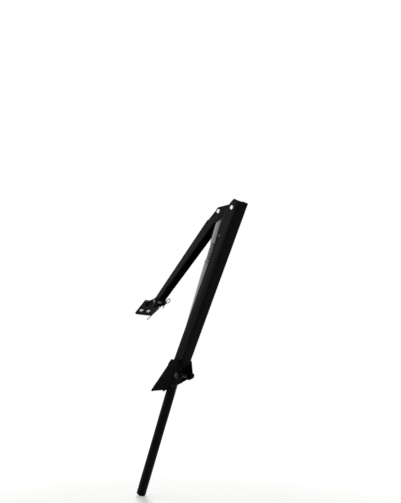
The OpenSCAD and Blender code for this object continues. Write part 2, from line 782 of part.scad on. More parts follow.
base_bracket();
base_pivot_bolt();
base_pivot_nut();
base_pivot_washers();
base_arm();
spacer_rivet();
cylinder_holder();
holder_rivets();
wax_cylinder();
cylinder_end_cap();
wax_charge();
cylinder_gland();
gland_seal();
cylinder_lock_ring();
guide_sleeve();
sleeve_head();
apex_pin();
apex_clip();
piston();
piston_rod();
push_tube();
tube_foot_bush();
adjuster_screw();
push_rod();
adjuster_nut();
push_cap();
return_spring();
top_arm();
apex_sleeve();
push_pin();
push_roller();
push_clip();
window_bracket();
window_pin();
window_pin_clip();
window_screws();
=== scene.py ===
"""Looks of a heat-driven linear actuator: folded black arms, a bright push strut and a slim wax cylinder."""

import logging
import math
from dataclasses import dataclass
from enum import Enum
from functools import cache
from typing import Optional, Sequence, Union

import bmesh
import bpy
from bpy.types import Material, Mesh, Node, NodeSocket, NodeTree
from mathutils import Matrix, Vector
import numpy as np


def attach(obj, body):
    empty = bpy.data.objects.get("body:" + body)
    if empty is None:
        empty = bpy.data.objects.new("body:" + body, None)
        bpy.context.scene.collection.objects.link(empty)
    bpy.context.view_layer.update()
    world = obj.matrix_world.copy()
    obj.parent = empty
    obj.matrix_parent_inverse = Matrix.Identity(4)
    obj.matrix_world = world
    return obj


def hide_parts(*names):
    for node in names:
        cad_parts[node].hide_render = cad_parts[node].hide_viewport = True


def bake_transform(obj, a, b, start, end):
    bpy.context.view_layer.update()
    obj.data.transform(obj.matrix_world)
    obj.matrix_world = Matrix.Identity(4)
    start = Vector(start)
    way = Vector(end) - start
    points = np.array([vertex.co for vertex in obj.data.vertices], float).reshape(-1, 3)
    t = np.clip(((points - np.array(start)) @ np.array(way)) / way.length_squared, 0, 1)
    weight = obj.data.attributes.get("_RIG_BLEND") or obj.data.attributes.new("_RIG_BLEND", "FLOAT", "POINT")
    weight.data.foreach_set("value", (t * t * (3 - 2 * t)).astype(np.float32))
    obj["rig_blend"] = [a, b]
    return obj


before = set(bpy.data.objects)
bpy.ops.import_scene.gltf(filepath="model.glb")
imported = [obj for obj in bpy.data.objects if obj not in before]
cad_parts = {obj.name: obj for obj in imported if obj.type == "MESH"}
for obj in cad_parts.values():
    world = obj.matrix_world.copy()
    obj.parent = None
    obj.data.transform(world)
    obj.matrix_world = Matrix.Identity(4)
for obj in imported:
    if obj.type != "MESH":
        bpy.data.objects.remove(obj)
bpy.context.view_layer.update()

LOG = logging.getLogger("vent_opener")
MM = 0.001
WHITE = (1.0, 1.0, 1.0, 1.0)
# Gap between pieces that bear on each other, in millimetres.
SEAT = 0.02
# Depth of a fine thread, as a share of its pitch, and the plain length at its ends.
THREAD_DEPTH = 0.45
THREAD_LEAD = 0.8

Triple = tuple[float, float, float]
Points = list[tuple[float, float]]
Profile = Sequence[tuple[float, float]]
Value = Union[NodeSocket, float, bool, Triple]


class Body(Enum):
    """Bodies that a piece can ride on."""

    SILL = "base_bracket"
    BASE = "base_arm"
    STRUT = "push_strut"
    TOP = "top_arm"
    ROLLER = "push_roller"
    WINDOW = "window_bracket"


class Slot(Enum):
    """Material slots of the record."""

    BLACK = "black_paint"
    PLATED = "plated_steel"
    BRASS = "brass"
    NYLON = "nylon"
    RUBBER = "rubber"
    WAX = "wax"


class Cut(Enum):
    """Ways in which one mesh trims another."""

    INTERSECT = "INTERSECT"
    DIFFERENCE = "DIFFERENCE"


class Plug(Enum):
    """Types of the sockets on a node group."""

    VECTOR = "NodeSocketVector"
    FLOAT = "NodeSocketFloat"
    COUNT = "NodeSocketInt"
    MATERIAL = "NodeSocketMaterial"
    SHAPE = "NodeSocketGeometry"


class Wiring:
    """Short ways of adding and joining nodes. A value is a socket to link or a plain value to set."""

    @staticmethod
    def group(
        kind: str, name: str, inputs: dict[str, Plug], outputs: dict[str, Plug]
    ) -> tuple[NodeTree, Node, Node]:
        """Starts a node group.

        Args:
            kind: The type of its tree.
            name: Its name.
            inputs: Socket type by input name.
            outputs: Socket type by output name.

        Returns:
            The tree, its input node and its output node.
        """
        tree = bpy.data.node_groups.new(name, kind)
        for way, plugs in (("INPUT", inputs), ("OUTPUT", outputs)):
            for label, plug in plugs.items():
                tree.interface.new_socket(label, in_out=way, socket_type=plug.value)
        return tree, tree.nodes.new("NodeGroupInput"), tree.nodes.new("NodeGroupOutput")

    @staticmethod
    def feed(tree: NodeTree, node: Node, feeds: dict[Union[str, int], Value]) -> None:
        """Feeds a node's inputs.

        Args:
            tree: Where the node is.
            node: The node.
            feeds: Value by the input's name or number.
        """
        for label, value in feeds.items():
            if isinstance(value, NodeSocket):
                tree.links.new(value, node.inputs[label])
            else:
                node.inputs[label].default_value = value

    @staticmethod
    def node(tree: NodeTree, kind: str, feeds: dict[Union[str, int], Value], **settings: object) -> Node:
        """Adds a node.

        Args:
            tree: Where it goes.
            kind: The node's type.
            feeds: Value by the input's name or number.
            settings: The node's own properties.

        Returns:
            The new node.
        """
        node = tree.nodes.new(kind)
        for label, value in settings.items():
            setattr(node, label, value)
        Wiring.feed(tree, node, feeds)
        return node

    @staticmethod
    def math(tree: NodeTree, operation: str, *values: Value, clamp: bool = False) -> NodeSocket:
        """Adds a Math node and returns its result."""
        feeds = dict(enumerate(values))
        return Wiring.node(tree, "ShaderNodeMath", feeds, operation=operation, use_clamp=clamp).outputs[0]

    @staticmethod
    def ranged(tree: NodeTree, value: NodeSocket, low: float, high: float) -> NodeSocket:
        """Maps a mask from 0 and 1 to low and high."""
        feeds = {"Value": value, "To Min": low, "To Max": high}
        return Wiring.node(tree, "ShaderNodeMapRange", feeds).outputs["Result"]

    @staticmethod
    def span(tree: NodeTree, value: NodeSocket, low: float, high: float) -> NodeSocket:
        """Stretches a value so that low becomes 0 and high becomes 1."""
        feeds = {"Value": value, "From Min": low, "From Max": high}
        return Wiring.node(tree, "ShaderNodeMapRange", feeds).outputs["Result"]

    @staticmethod
    def mix(
        tree: NodeTree, share: NodeSocket, low: Union[NodeSocket, Triple], high: Union[NodeSocket, Triple]
    ) -> NodeSocket:
        """Mixes two colours by a mask.

        Args:
            tree: Where the node goes.
            share: The mask.
            low: Colour or socket where the mask is 0.
            high: Colour or socket where the mask is 1.

        Returns:
            The mixed colour's socket.
        """
        node = Wiring.node(tree, "ShaderNodeMix", {0: share}, data_type="RGBA")
        places = [i for i, socket in enumerate(node.inputs) if socket.type == "RGBA"]
        ends = [end if isinstance(end, NodeSocket) else (*end, 1.0) for end in (low, high)]
        Wiring.feed(tree, node, dict(zip(places, ends)))
        return next(socket for socket in node.outputs if socket.type == "RGBA")


class ShaderGroups:
    """Effects that several finishes share, each built once as a node group."""

    BROAD_SHARE = 0.045
    BEVEL_SAMPLES = 6
    CHIP_SCALE = 260.0
    REACH_SCALE = 38.0
    CLOUD_SCALE = 70.0

    @staticmethod
    def _noise(tree: NodeTree, vector: NodeSocket, scale: Value, detail: float) -> NodeSocket:
        """Adds a Noise Texture and returns its factor."""
        feeds = {"Vector": vector, "Scale": scale, "Detail": detail}
        return Wiring.node(tree, "ShaderNodeTexNoise", feeds).outputs["Fac"]

    @staticmethod
    def _product(tree: NodeTree, mask: NodeSocket, *others: NodeSocket) -> NodeSocket:
        """Multiplies masks.

        Args:
            tree: Where the nodes go.
            mask: The first mask.
            others: The other masks, in order.

        Returns:
            The product's socket.
        """
        for other in others:
            mask = Wiring.math(tree, "MULTIPLY", mask, other, clamp=True)
        return mask

    @classmethod
    @cache
    def grain(cls) -> NodeTree:
        """Fine and broad unevenness of a surface, and the specks in it.

        Returns:
            The node group.
        """
        inputs = {"Vector": Plug.VECTOR, "Scale": Plug.FLOAT}
        outputs = dict.fromkeys(("Fine", "Broad", "Speck"), Plug.FLOAT)
        tree, given, made = Wiring.group("ShaderNodeTree", "surface_grain", inputs, outputs)
        vector, scale = given.outputs["Vector"], given.outputs["Scale"]
        fine = cls._noise(tree, vector, scale, 3.0)
        broad = cls._noise(tree, vector, Wiring.math(tree, "MULTIPLY", scale, cls.BROAD_SHARE), 4.0)
        bands = {"Fine": (fine, 0.3, 0.7), "Broad": (broad, 0.32, 0.68), "Speck": (fine, 0.54, 0.72)}
        Wiring.feed(tree, made, {label: Wiring.span(tree, *band) for label, band in bands.items()})
        return tree

    @classmethod
    @cache
    def edge_wear_and_highlight(cls) -> NodeTree:
        """Rubbed places along sharp edges, lighter than the paint: worn paint, and painted highlights where the edges
        catch light.

        Returns:
            The node group.
        """
        inputs = {"Vector": Plug.VECTOR, "Width": Plug.FLOAT, "Amount": Plug.FLOAT}
        tree, given, made = Wiring.group("ShaderNodeTree", "edge_wear_and_highlight", inputs, {"Mask": Plug.FLOAT})
        vector = given.outputs["Vector"]
        bevel = Wiring.node(
            tree, "ShaderNodeBevel", {"Radius": given.outputs["Width"]}, samples=cls.BEVEL_SAMPLES
        )
        surface = tree.nodes.new("ShaderNodeNewGeometry")
        normals = {0: bevel.outputs["Normal"], 1: surface.outputs["Normal"]}
        dot = Wiring.node(tree, "ShaderNodeVectorMath", normals, operation="DOT_PRODUCT")
        edge = Wiring.span(tree, dot.outputs["Value"], 0.97, 0.82)
        chips = Wiring.span(tree, cls._noise(tree, vector, cls.CHIP_SCALE, 5.0), 0.4, 0.62)
        reach = Wiring.span(tree, cls._noise(tree, vector, cls.REACH_SCALE, 3.0), 0.42, 0.6)
        mask = cls._product(tree, chips, reach, edge, given.outputs["Amount"])
        Wiring.feed(tree, made, {"Mask": mask})
        return tree

    @classmethod
    @cache
    def dust(cls) -> NodeTree:
        """Dust that lies on the faces that look up at rest.

        Returns:
            The node group.
        """
        inputs = {"Vector": Plug.VECTOR, "Normal": Plug.VECTOR, "Amount": Plug.FLOAT}
        tree, given, made = Wiring.group("ShaderNodeTree", "settled_dust", inputs, {"Mask": Plug.FLOAT})
        split = Wiring.node(tree, "ShaderNodeSeparateXYZ", {0: given.outputs["Normal"]})
        up = Wiring.span(tree, split.outputs["Z"], 0.25, 0.95)
        noise = cls._noise(tree, given.outputs["Vector"], cls.CLOUD_SCALE, 6.0)
        cloud = Wiring.span(tree, noise, 0.34, 0.72)
        Wiring.feed(tree, made, {"Mask": cls._product(tree, up, cloud, given.outputs["Amount"])})
        return tree


@dataclass(frozen=True)
class Finish:
    """One finish: its colours, gloss, grain, rubbed edges that are also painted edge highlights, and dust."""

    name: str
    slot: Slot
    colour: Triple
    shade: Triple
    roughness: tuple[float, float]
    metallic: float = 0.0
    grain_scale: float = 900.0
    grain_stretch: Triple = (1.0, 1.0, 1.0)
    grain_lean: float = 0.0
    bump: float = 0.1
    bump_depth: float = 0.00004
    wear_and_highlight: float = 0.0
    wear_and_highlight_width: float = 0.0007
    wear_and_highlight_colour: Triple = (0.3, 0.3, 0.31)
    worn_or_lit_metallic: float = 0.9
    dust: float = 0.0
    dust_colour: Triple = (0.3, 0.28, 0.25)
    dust_dulling: float = 0.45
    coat: float = 0.0
    coat_roughness: float = 0.25
    specular: float = 0.5
    speck: Optional[Triple] = None

    def material(self) -> Material:
        """Returns the finish's material, built on first use."""
        found = bpy.data.materials.get(self.name)
        return found if found is not None else self._build()

    @staticmethod
    def _effect(tree: NodeTree, group: NodeTree, feeds: dict[str, Value]) -> bpy.types.NodeOutputs:
        """Places a shared effect and returns its outputs."""
        return Wiring.node(tree, "ShaderNodeGroup", feeds, node_tree=group).outputs

    def _build(self) -> Material:
        """Builds the material's nodes.

        Returns:
            The new material.
        """
        material = bpy.data.materials.new(self.name)
        material.use_nodes = True
        tree = material.node_tree
        place = tree.nodes.new("ShaderNodeTexCoord")
        point = place.outputs["Object"]
        lean = (0.0, math.radians(self.grain_lean), 0.0)
        lay = {"Vector": point, "Rotation": lean, "Scale": self.grain_stretch}
        turned = Wiring.node(tree, "ShaderNodeMapping", lay, vector_type="TEXTURE")
        sizes = {"Vector": turned.outputs["Vector"], "Scale": self.grain_scale}
        grain = self._effect(tree, ShaderGroups.grain(), sizes)
        colour = Wiring.mix(tree, grain["Broad"], self.colour, self.shade)
        if self.speck is not None:
            colour = Wiring.mix(tree, grain["Speck"], colour, self.speck)
        gloss = Wiring.ranged(tree, grain["Fine"], *self.roughness)
        metallic: Value = self.metallic
        # Lighter rubbed edges: worn paint, and painted highlights where the edges catch light.
        if self.wear_and_highlight > 0.0:
            sizes = {"Vector": point, "Width": self.wear_and_highlight_width, "Amount": self.wear_and_highlight}
            worn_or_lit = self._effect(tree, ShaderGroups.edge_wear_and_highlight(), sizes)["Mask"]
            colour = Wiring.mix(tree, worn_or_lit, colour, self.wear_and_highlight_colour)
            metallic = Wiring.ranged(tree, worn_or_lit, self.metallic, self.worn_or_lit_metallic)
        if self.dust > 0.0:
            sizes = {"Vector": point, "Normal": place.outputs["Normal"], "Amount": self.dust}
            lying = self._effect(tree, ShaderGroups.dust(), sizes)["Mask"]
            colour = Wiring.mix(tree, lying, colour, self.dust_colour)
            gloss = Wiring.math(tree, "MULTIPLY_ADD", lying, self.dust_dulling, gloss, clamp=True)
        relief = {"Height": grain["Fine"], "Strength": self.bump, "Distance": self.bump_depth}
        bump = Wiring.node(tree, "ShaderNodeBump", relief)
        Wiring.feed(tree, tree.nodes["Principled BSDF"], {
            "Base Color": colour, "Roughness": gloss, "Metallic": metallic, "Normal": bump.outputs["Normal"],
            "Specular IOR Level": self.specular, "Coat Weight": self.coat, "Coat Roughness": self.coat_roughness,
        })
        return material


STRUT_LEAN = 27.352
BLACK_DUST = (0.08, 0.077, 0.07)
# The lighter colour on the black finishes' edges is rubbed paint and also a painted edge highlight.
BLACK_COAT = Finish(
    "black_powder_coat", Slot.BLACK, (0.0022, 0.0022, 0.0024), (0.0042, 0.0042, 0.0045), (0.42, 0.56),
    grain_scale=1500.0, bump=0.16, wear_and_highlight=0.6, wear_and_highlight_colour=(0.15, 0.15, 0.155), dust=0.1,
    dust_colour=BLACK_DUST, specular=0.035, speck=(0.016, 0.016, 0.0165),
)
BLACK_TUBE = Finish(
    "black_enamel_tube", Slot.BLACK, (0.0014, 0.0014, 0.0015), (0.0028, 0.0028, 0.003), (0.34, 0.46),
    grain_scale=1100.0, bump=0.1, wear_and_highlight=0.35, wear_and_highlight_colour=(0.12, 0.12, 0.125), dust=0.1,
    dust_colour=BLACK_DUST, specular=0.04, speck=(0.008, 0.008, 0.0083),
)
# A darker, duller copy of the black powder coat for the saddle: painted shade, as that end of the object lies in
# shade.
SHADED_BLACK_COAT = Finish(
    "black_coat_painted_shade", Slot.BLACK, (0.0013, 0.0013, 0.0014), (0.0026, 0.0026, 0.0028), (0.5, 0.64),
    grain_scale=1500.0, bump=0.16, wear_and_highlight=0.6, wear_and_highlight_colour=(0.12, 0.12, 0.125), dust=0.1,
    dust_colour=BLACK_DUST, specular=0.012, speck=(0.009, 0.009, 0.0093),
)
ZINC = Finish(
    "bright_zinc_plate", Slot.PLATED, (0.62, 0.63, 0.64), (0.5, 0.51, 0.52), (0.24, 0.4), 1.0,
    grain_scale=1300.0, bump=0.08, dust=0.06,
)
DRAWN_STEEL = Finish(
    "drawn_satin_steel", Slot.PLATED, (0.26, 0.262, 0.267), (0.19, 0.192, 0.197), (0.3, 0.46), 1.0,
    grain_scale=900.0, grain_stretch=(1.0, 1.0, 26.0), grain_lean=STRUT_LEAN, bump=0.1, dust=0.05,
)
DULL_STEEL = Finish(
    "dull_plated_steel", Slot.PLATED, (0.3, 0.3, 0.305), (0.22, 0.22, 0.225), (0.36, 0.52), 1.0,
    grain_scale=1100.0, bump=0.12, dust=0.08,
)
GREY_STEEL = Finish(
    "grey_phosphated_steel", Slot.PLATED, (0.12, 0.12, 0.123), (0.088, 0.088, 0.091), (0.36, 0.52), 1.0,
    grain_scale=1100.0, bump=0.12, dust=0.08,
)
DARK_STEEL = Finish(
    "oiled_dark_steel", Slot.PLATED, (0.042, 0.042, 0.044), (0.028, 0.028, 0.03), (0.34, 0.5), 1.0,
    grain_scale=1100.0, bump=0.1, dust=0.05, dust_colour=(0.12, 0.115, 0.105),
)
BLACKENED_STEEL = Finish(
    "blackened_steel", Slot.PLATED, (0.014, 0.014, 0.015), (0.009, 0.009, 0.01), (0.36, 0.5), 1.0,
    grain_scale=1100.0, bump=0.1, dust=0.05, dust_colour=BLACK_DUST,
)
BRASS = Finish(
    "turned_brass", Slot.BRASS, (0.62, 0.43, 0.16), (0.5, 0.34, 0.12), (0.22, 0.4), 1.0,
    grain_scale=800.0, bump=0.1,
)
NYLON = Finish(
    "dark_nylon", Slot.NYLON, (0.02, 0.02, 0.02), (0.03, 0.03, 0.029), (0.42, 0.56), grain_scale=700.0, bump=0.1,
    specular=0.35,
)
NUT_NYLON = Finish(
    "nut_insert_nylon", Slot.NYLON, (0.4, 0.39, 0.36), (0.3, 0.29, 0.27), (0.38, 0.5), grain_scale=900.0, bump=0.1,
)
RUBBER = Finish(
    "black_nitrile", Slot.RUBBER, (0.015, 0.015, 0.015), (0.025, 0.025, 0.025), (0.5, 0.7), grain_scale=1200.0,
)
WAX = Finish(
    "mineral_wax", Slot.WAX, (0.75, 0.66, 0.42), (0.7, 0.58, 0.34), (0.35, 0.55), grain_scale=400.0, coat=0.2,
)


@dataclass(frozen=True)
class Rig:
    """Places of the sub-assemblies at rest, in millimetres and degrees."""

    sill_slope: float = 37.7
    pivot_run: float = 53.0
    pivot_drop: float = 39.1
    base_lean: float = 32.87
    pivot_offset: float = 22.0
    pivot_rise: float = 2.0
    apex_reach: float = 319.45
    arm_spread: float = 23.06
    push_offset: float = 26.5
    push_drop: float = 29.3
    window_offset: float = 32.0
    top_reach: float = 276.0
    sash_turn: float = 6.45
    strut_shift: float = 4.0
    strut_lean: float = 5.518

    @staticmethod
    def shift(x: float, y: float, z: float) -> Matrix:
        """A move by millimetres."""
        return Matrix.Translation((x * MM, y * MM, z * MM))

    @staticmethod
    def turn(degrees: float) -> Matrix:
        """A turn about the pins' direction."""
        return Matrix.Rotation(math.radians(degrees), 4, "Y")

    @staticmethod
    def along_pins() -> Matrix:
        """Lays a piece that was built along Z along the pins, towards +Y."""
        return Matrix.Rotation(math.radians(-90.0), 4, "X")

    def sill(self) -> Matrix:
        """Place of the saddle: X runs up its slope."""
        return self.turn(-self.sill_slope)

    def sill_pivot(self) -> Matrix:
        """Place of the base pivot, on the saddle."""
        return self.sill() @ self.shift(self.pivot_run, 0.0, -self.pivot_drop)

    def base(self) -> Matrix:
        """Place of the base arm: Z runs up the channel."""
        inset = self.shift(-self.pivot_offset, 0.0, -self.pivot_rise)
        return Matrix.Translation(self.sill_pivot().to_translation()) @ self.turn(self.base_lean) @ inset

    def base_end(self) -> Matrix:
        """Place of the apex pin, on the base arm."""
        return self.base() @ self.shift(0.0, 0.0, self.apex_reach)

    def strut(self) -> Matrix:
        """Place of the strut: Z runs along the cylinder and the push tube."""
        return self.base() @ self.shift(-self.strut_shift, 0.0, 0.0) @ self.turn(-self.strut_lean)

    def on_strut(self, height: float) -> Triple:
        """A point on the strut's axis, in metres."""
        return tuple(self.strut() @ Vector((0.0, 0.0, height * MM)))

    def apex(self) -> Matrix:
        """Place of the top arm: the origin is the apex pivot."""
        return self.base_end() @ self.turn(self.arm_spread)

    def push(self) -> Matrix:
        """Place of the push pin, on the top arm."""
        return self.apex() @ self.shift(-self.push_offset, 0.0, -self.push_drop)

    def window(self) -> Matrix:
        """Place of the plate bracket: the origin is its pin."""
        return self.apex() @ self.shift(-self.window_offset, 0.0, -self.top_reach) @ self.turn(self.sash_turn)


RIG = Rig()


class Shop:
    """Ways of making meshes. Sizes are in millimetres, and meshes come out in metres."""

    CORNER_SHARE = 0.45
    POLE = 1e-6
    DOME_STEPS = 10
    WIRE_END = 0.55
    MERGE = 2e-6
    FLAT_ANGLE = 0.6
    SHARP_ANGLE = 40.0

    @staticmethod
    def rounded(profile: Profile, radius: float, steps: int = 4) -> Points:
        """Rounds the corners of an open profile, but not its two ends.

        Args:
            profile: Points as radius and height.
            radius: Size of the rounding.
            steps: Straight pieces in each rounding.

        Returns:
            The rounded profile.
        """
        points = [Vector(p) for p in profile]
        made = [points[0]]
        for before, corner, after in zip(points, points[1:], points[2:]):
            back, ahead = before - corner, after - corner
            reach = min(radius, Shop.CORNER_SHARE * back.length, Shop.CORNER_SHARE * ahead.length)
            start, end = corner + back.normalized() * reach, corner + ahead.normalized() * reach
            for i in range(steps + 1):
                t = i / steps
                made.append(start * (1 - t) ** 2 + corner * 2 * t * (1 - t) + end * t * t)
        made.append(points[-1])
        return [(p.x, p.y) for p in made]

    @staticmethod
    def headed(
        radius: float, seat: float, rise: float, shank: float, rim: tuple[float, float], skirt: float = 0.35
    ) -> Points:
        """Outline of a domed head below its seat, and of the shank's start.

        Args:
            radius: Radius of the head.
            seat: Height of the face that it bears with.
            rise: Height of the head.
            shank: Radius of the shank.
            rim: Width and height of the broken edge under the head.
            skirt: Straight share of the head's height.

        Returns:
            The outline, from the head's middle.
        """
        turns = [math.pi / 2 * i / Shop.DOME_STEPS for i in range(Shop.DOME_STEPS + 1)]
        dome = [(radius * math.sin(t), seat - rise * (skirt + (1 - skirt) * math.cos(t))) for t in turns]
        return dome + [(radius, seat - rim[1]), (radius - rim[0], seat), (shank, seat)]

    @staticmethod
    def stepped(radius: float, end: float, shape: Profile) -> Points:
        """Lays a shape, given as depth below the radius and distance from the end, on a round."""
        return [(radius - depth, end - back) for depth, back in shape]

    @staticmethod
    def disc(radius: float, low: float, high: float) -> Points:
        """Outline of a plain round."""
        return [(0.0, low), (radius, low), (radius, high), (0.0, high)]

    @staticmethod
    def taken(made: bmesh.types.BMesh) -> Mesh:
        """Makes a mesh of a working mesh, which is freed.

        Args:
            made: The working mesh.

        Returns:
            The new mesh.
        """
        mesh = bpy.data.meshes.new("piece")
        made.to_mesh(mesh)
        made.free()
        return mesh

    @staticmethod
    def closed_mesh(made: bmesh.types.BMesh, place: Matrix) -> Mesh:
        """Points the faces of a working mesh outwards and moves it to its place.

        Args:
            made: The working mesh, which is freed.
            place: Where the piece goes.

        Returns:
            The new mesh.
        """
        bmesh.ops.recalc_face_normals(made, faces=made.faces)
        mesh = Shop.taken(made)
        mesh.transform(place)
        return mesh

    @staticmethod
    def revolved(profile: Profile, place: Matrix, steps: int = 64, ring: bool = False) -> Mesh:
        """Turns a profile about Z.

        Args:
            profile: Points as radius and height; a radius of 0 is a pole.
            place: Where the piece goes.
            steps: Sides of the round.
            ring: Whether the last point joins the first, as in a tube.

        Returns:
            The new mesh.
        """
        made = bmesh.new()
        turns = [2 * math.pi * i / steps for i in range(steps)]
        loops: list[list[bmesh.types.BMVert]] = []
        for radius, height in profile:
            r, z = radius * MM, height * MM
            if radius < Shop.POLE:
                loops.append([made.verts.new((0.0, 0.0, z))])
            else:
                loops.append([made.verts.new((r * math.cos(a), r * math.sin(a), z)) for a in turns])
        pairs = list(zip(loops, loops[1:])) + ([(loops[-1], loops[0])] if ring else [])
        for low, high in pairs:
            for i in range(steps):
                j = (i + 1) % steps
                corners = [low[i % len(low)], low[j % len(low)], high[j % len(high)], high[i % len(high)]]
                corners = list(dict.fromkeys(corners))
                if len(corners) > 2:
                    made.faces.new(corners)
        return Shop.closed_mesh(made, place)

    @staticmethod
    def ring(outline: Profile, edge: float, place: Matrix, steps: int = 4, sides: int = 64) -> Mesh:
        """Turns a closed outline about Z, with every corner but the first one rounded."""
        path = Shop.rounded([*outline, outline[0]], edge, steps)
        return Shop.revolved(path[:-1], place, sides, ring=True)

    @staticmethod
    def tube(low: float, high: float, outer: float, inner: float, edge: float, place: Matrix) -> Mesh:
        """A tube between two heights and two radii, with rounded rims."""
        corners = [(outer, (low + high) / 2), (outer, high), (inner, high), (inner, low), (outer, low)]
        return Shop.ring(corners, edge, place)

    @staticmethod
    def prism(corners: Profile, low: float, high: float, place: Matrix) -> Mesh:
        """A straight prism on a flat outline.

        Args:
            corners: The outline as x and y.
            low: Height of its foot.
            high: Height of its top.
            place: Where it goes.

        Returns:
            The new mesh.
        """
        made = bmesh.new()
        foot, top = [[made.verts.new((x * MM, y * MM, z * MM)) for x, y in corners] for z in (low, high)]
        made.faces.new(foot)
        made.faces.new(top)
        for i in range(len(corners)):
            j = (i + 1) % len(corners)
            made.faces.new((foot[i], foot[j], top[j], top[i]))
        return Shop.closed_mesh(made, place)

    @staticmethod
    def swept(path: Sequence[Vector], radius: float, place: Matrix, sides: int = 12) -> Mesh:
        """A round wire along a path that lies in one plane across Y.

        Args:
            path: Points of the wire's middle, in millimetres.
            radius: Radius of the wire.
            place: Where it goes.
            sides: Sides of the wire.

        Returns:
            The new mesh.
        """
        made = bmesh.new()
        across = Vector((0.0, 1.0, 0.0))
        turns = [2 * math.pi * k / sides for k in range(sides)]
        last = len(path) - 1
        rings = []
        for i, point in enumerate(path):
            side = across.cross((path[min(i + 1, last)] - path[max(i - 1, 0)]).normalized())
            girth = radius * (Shop.WIRE_END if i in (0, last) else 1.0)
            spokes = [(across * math.cos(a) + side * math.sin(a)) * girth for a in turns]
            rings.append([made.verts.new((point + spoke) * MM) for spoke in spokes])
        for low, high in zip(rings, rings[1:]):
            for k in range(sides):
                j = (k + 1) % sides
                made.faces.new((low[k], low[j], high[j], high[k]))
        made.faces.new(rings[0])
        made.faces.new(rings[-1])
        return Shop.closed_mesh(made, place)

    @staticmethod
    def put(name: str, data: bpy.types.ID) -> bpy.types.Object:
        """Puts an object into the scene.

        Args:
            name: Its name.
            data: Its mesh, lamp or camera.

        Returns:
            The object.
        """
        piece = bpy.data.objects.new(name, data)
        bpy.context.scene.collection.objects.link(piece)
        return piece

    @staticmethod
    def evaluated(piece: bpy.types.Object) -> Mesh:
        """Takes the finished mesh of a working object and removes the object.

        Args:
            piece: The working object, with its modifiers.

        Returns:
            The new mesh.
        """
        graph = bpy.context.evaluated_depsgraph_get()
        graph.update()
        mesh = bpy.data.meshes.new_from_object(piece.evaluated_get(graph), depsgraph=graph)
        bpy.data.objects.remove(piece)
        return mesh

    @staticmethod
    def trimmed(mesh: Mesh, tool: Mesh, cut: Cut) -> Mesh:
        """Trims a mesh by another.

        Args:
            mesh: What is trimmed.
            tool: The closed mesh that trims it.
            cut: Which part stays.

        Returns:
            The new mesh.
        """
        piece, cutter = Shop.put("bench", mesh), Shop.put("bench", tool)
        trim = piece.modifiers.new("trim", "BOOLEAN")
        trim.operation = cut.value
        trim.solver = "EXACT"
        trim.object = cutter
        made = Shop.evaluated(piece)
        bpy.data.objects.remove(cutter)
        return made

    @staticmethod
    def softened(node: str, width: float, segments: int = 3) -> Mesh:
        """Copies a CAD node and rounds its sharp edges.

        Args:
            node: The CAD node's name.
            width: Width of the rounding.
            segments: Steps across the rounding.

        Returns:
            The new mesh.
        """
        made = bmesh.new()
        made.from_mesh(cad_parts[node].data)
        made.transform(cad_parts[node].matrix_world)
        bmesh.ops.remove_doubles(made, verts=made.verts, dist=Shop.MERGE)
        flat = math.radians(Shop.FLAT_ANGLE)
        bmesh.ops.dissolve_limit(made, angle_limit=flat, verts=made.verts, edges=made.edges)
        mesh = Shop.taken(made)
        for extra in [a.name for a in mesh.attributes if a.name in ("custom_normal", "sharp_edge", "sharp_face")]:
            mesh.attributes.remove(mesh.attributes[extra])
        piece = Shop.put("bench", mesh)
        edge = piece.modifiers.new("edge", "BEVEL")
        edge.width = width * MM
        edge.segments = segments
        edge.limit_method = "ANGLE"
        edge.angle_limit = math.radians(Shop.SHARP_ANGLE)
        edge.miter_outer = "MITER_ARC"
        return Shop.evaluated(piece)

    @staticmethod
    def joined(*meshes: Mesh) -> Mesh:
        """Puts several meshes into one.

        Args:
            meshes: The meshes.

        Returns:
            The new mesh.
        """
        made = bmesh.new()
        for mesh in meshes:
            made.from_mesh(mesh)
        return Shop.taken(made)

    @staticmethod
    def hexagon(across: float, low: float, high: float, chamfers: tuple[bool, bool], place: Matrix) -> Mesh:
        """A six-sided block with turned-off corners.

        Args:
            across: Distance across the flats.
            low: Height of its foot.
            high: Height of its top.
            chamfers: Whether the foot and the top are turned off.
            place: Where it goes.

        Returns:
            The new mesh.
        """
        corner, beyond = across / math.sqrt(3.0), 1.0
        flat, drop, wide = across * 0.48, across * 0.06, corner * 1.02
        turns = [math.pi * k / 3 for k in range(6)]
        outline = [(corner * math.cos(a), corner * math.sin(a)) for a in turns]
        foot = [(0.0, low), (flat, low), (wide, low + drop)]
        crown = [(wide, high - drop), (flat, high), (0.0, high)]
        if not chamfers[0]:
            foot = [(0.0, low - beyond), (wide, low - beyond)]
        if not chamfers[1]:
            crown = [(wide, high + beyond), (0.0, high + beyond)]
        barrel = Shop.revolved(foot + crown, Matrix.Identity(4), 96)
        made = Shop.trimmed(Shop.prism(outline, low, high, Matrix.Identity(4)), barrel, Cut.INTERSECT)
        made.transform(place)
        return made


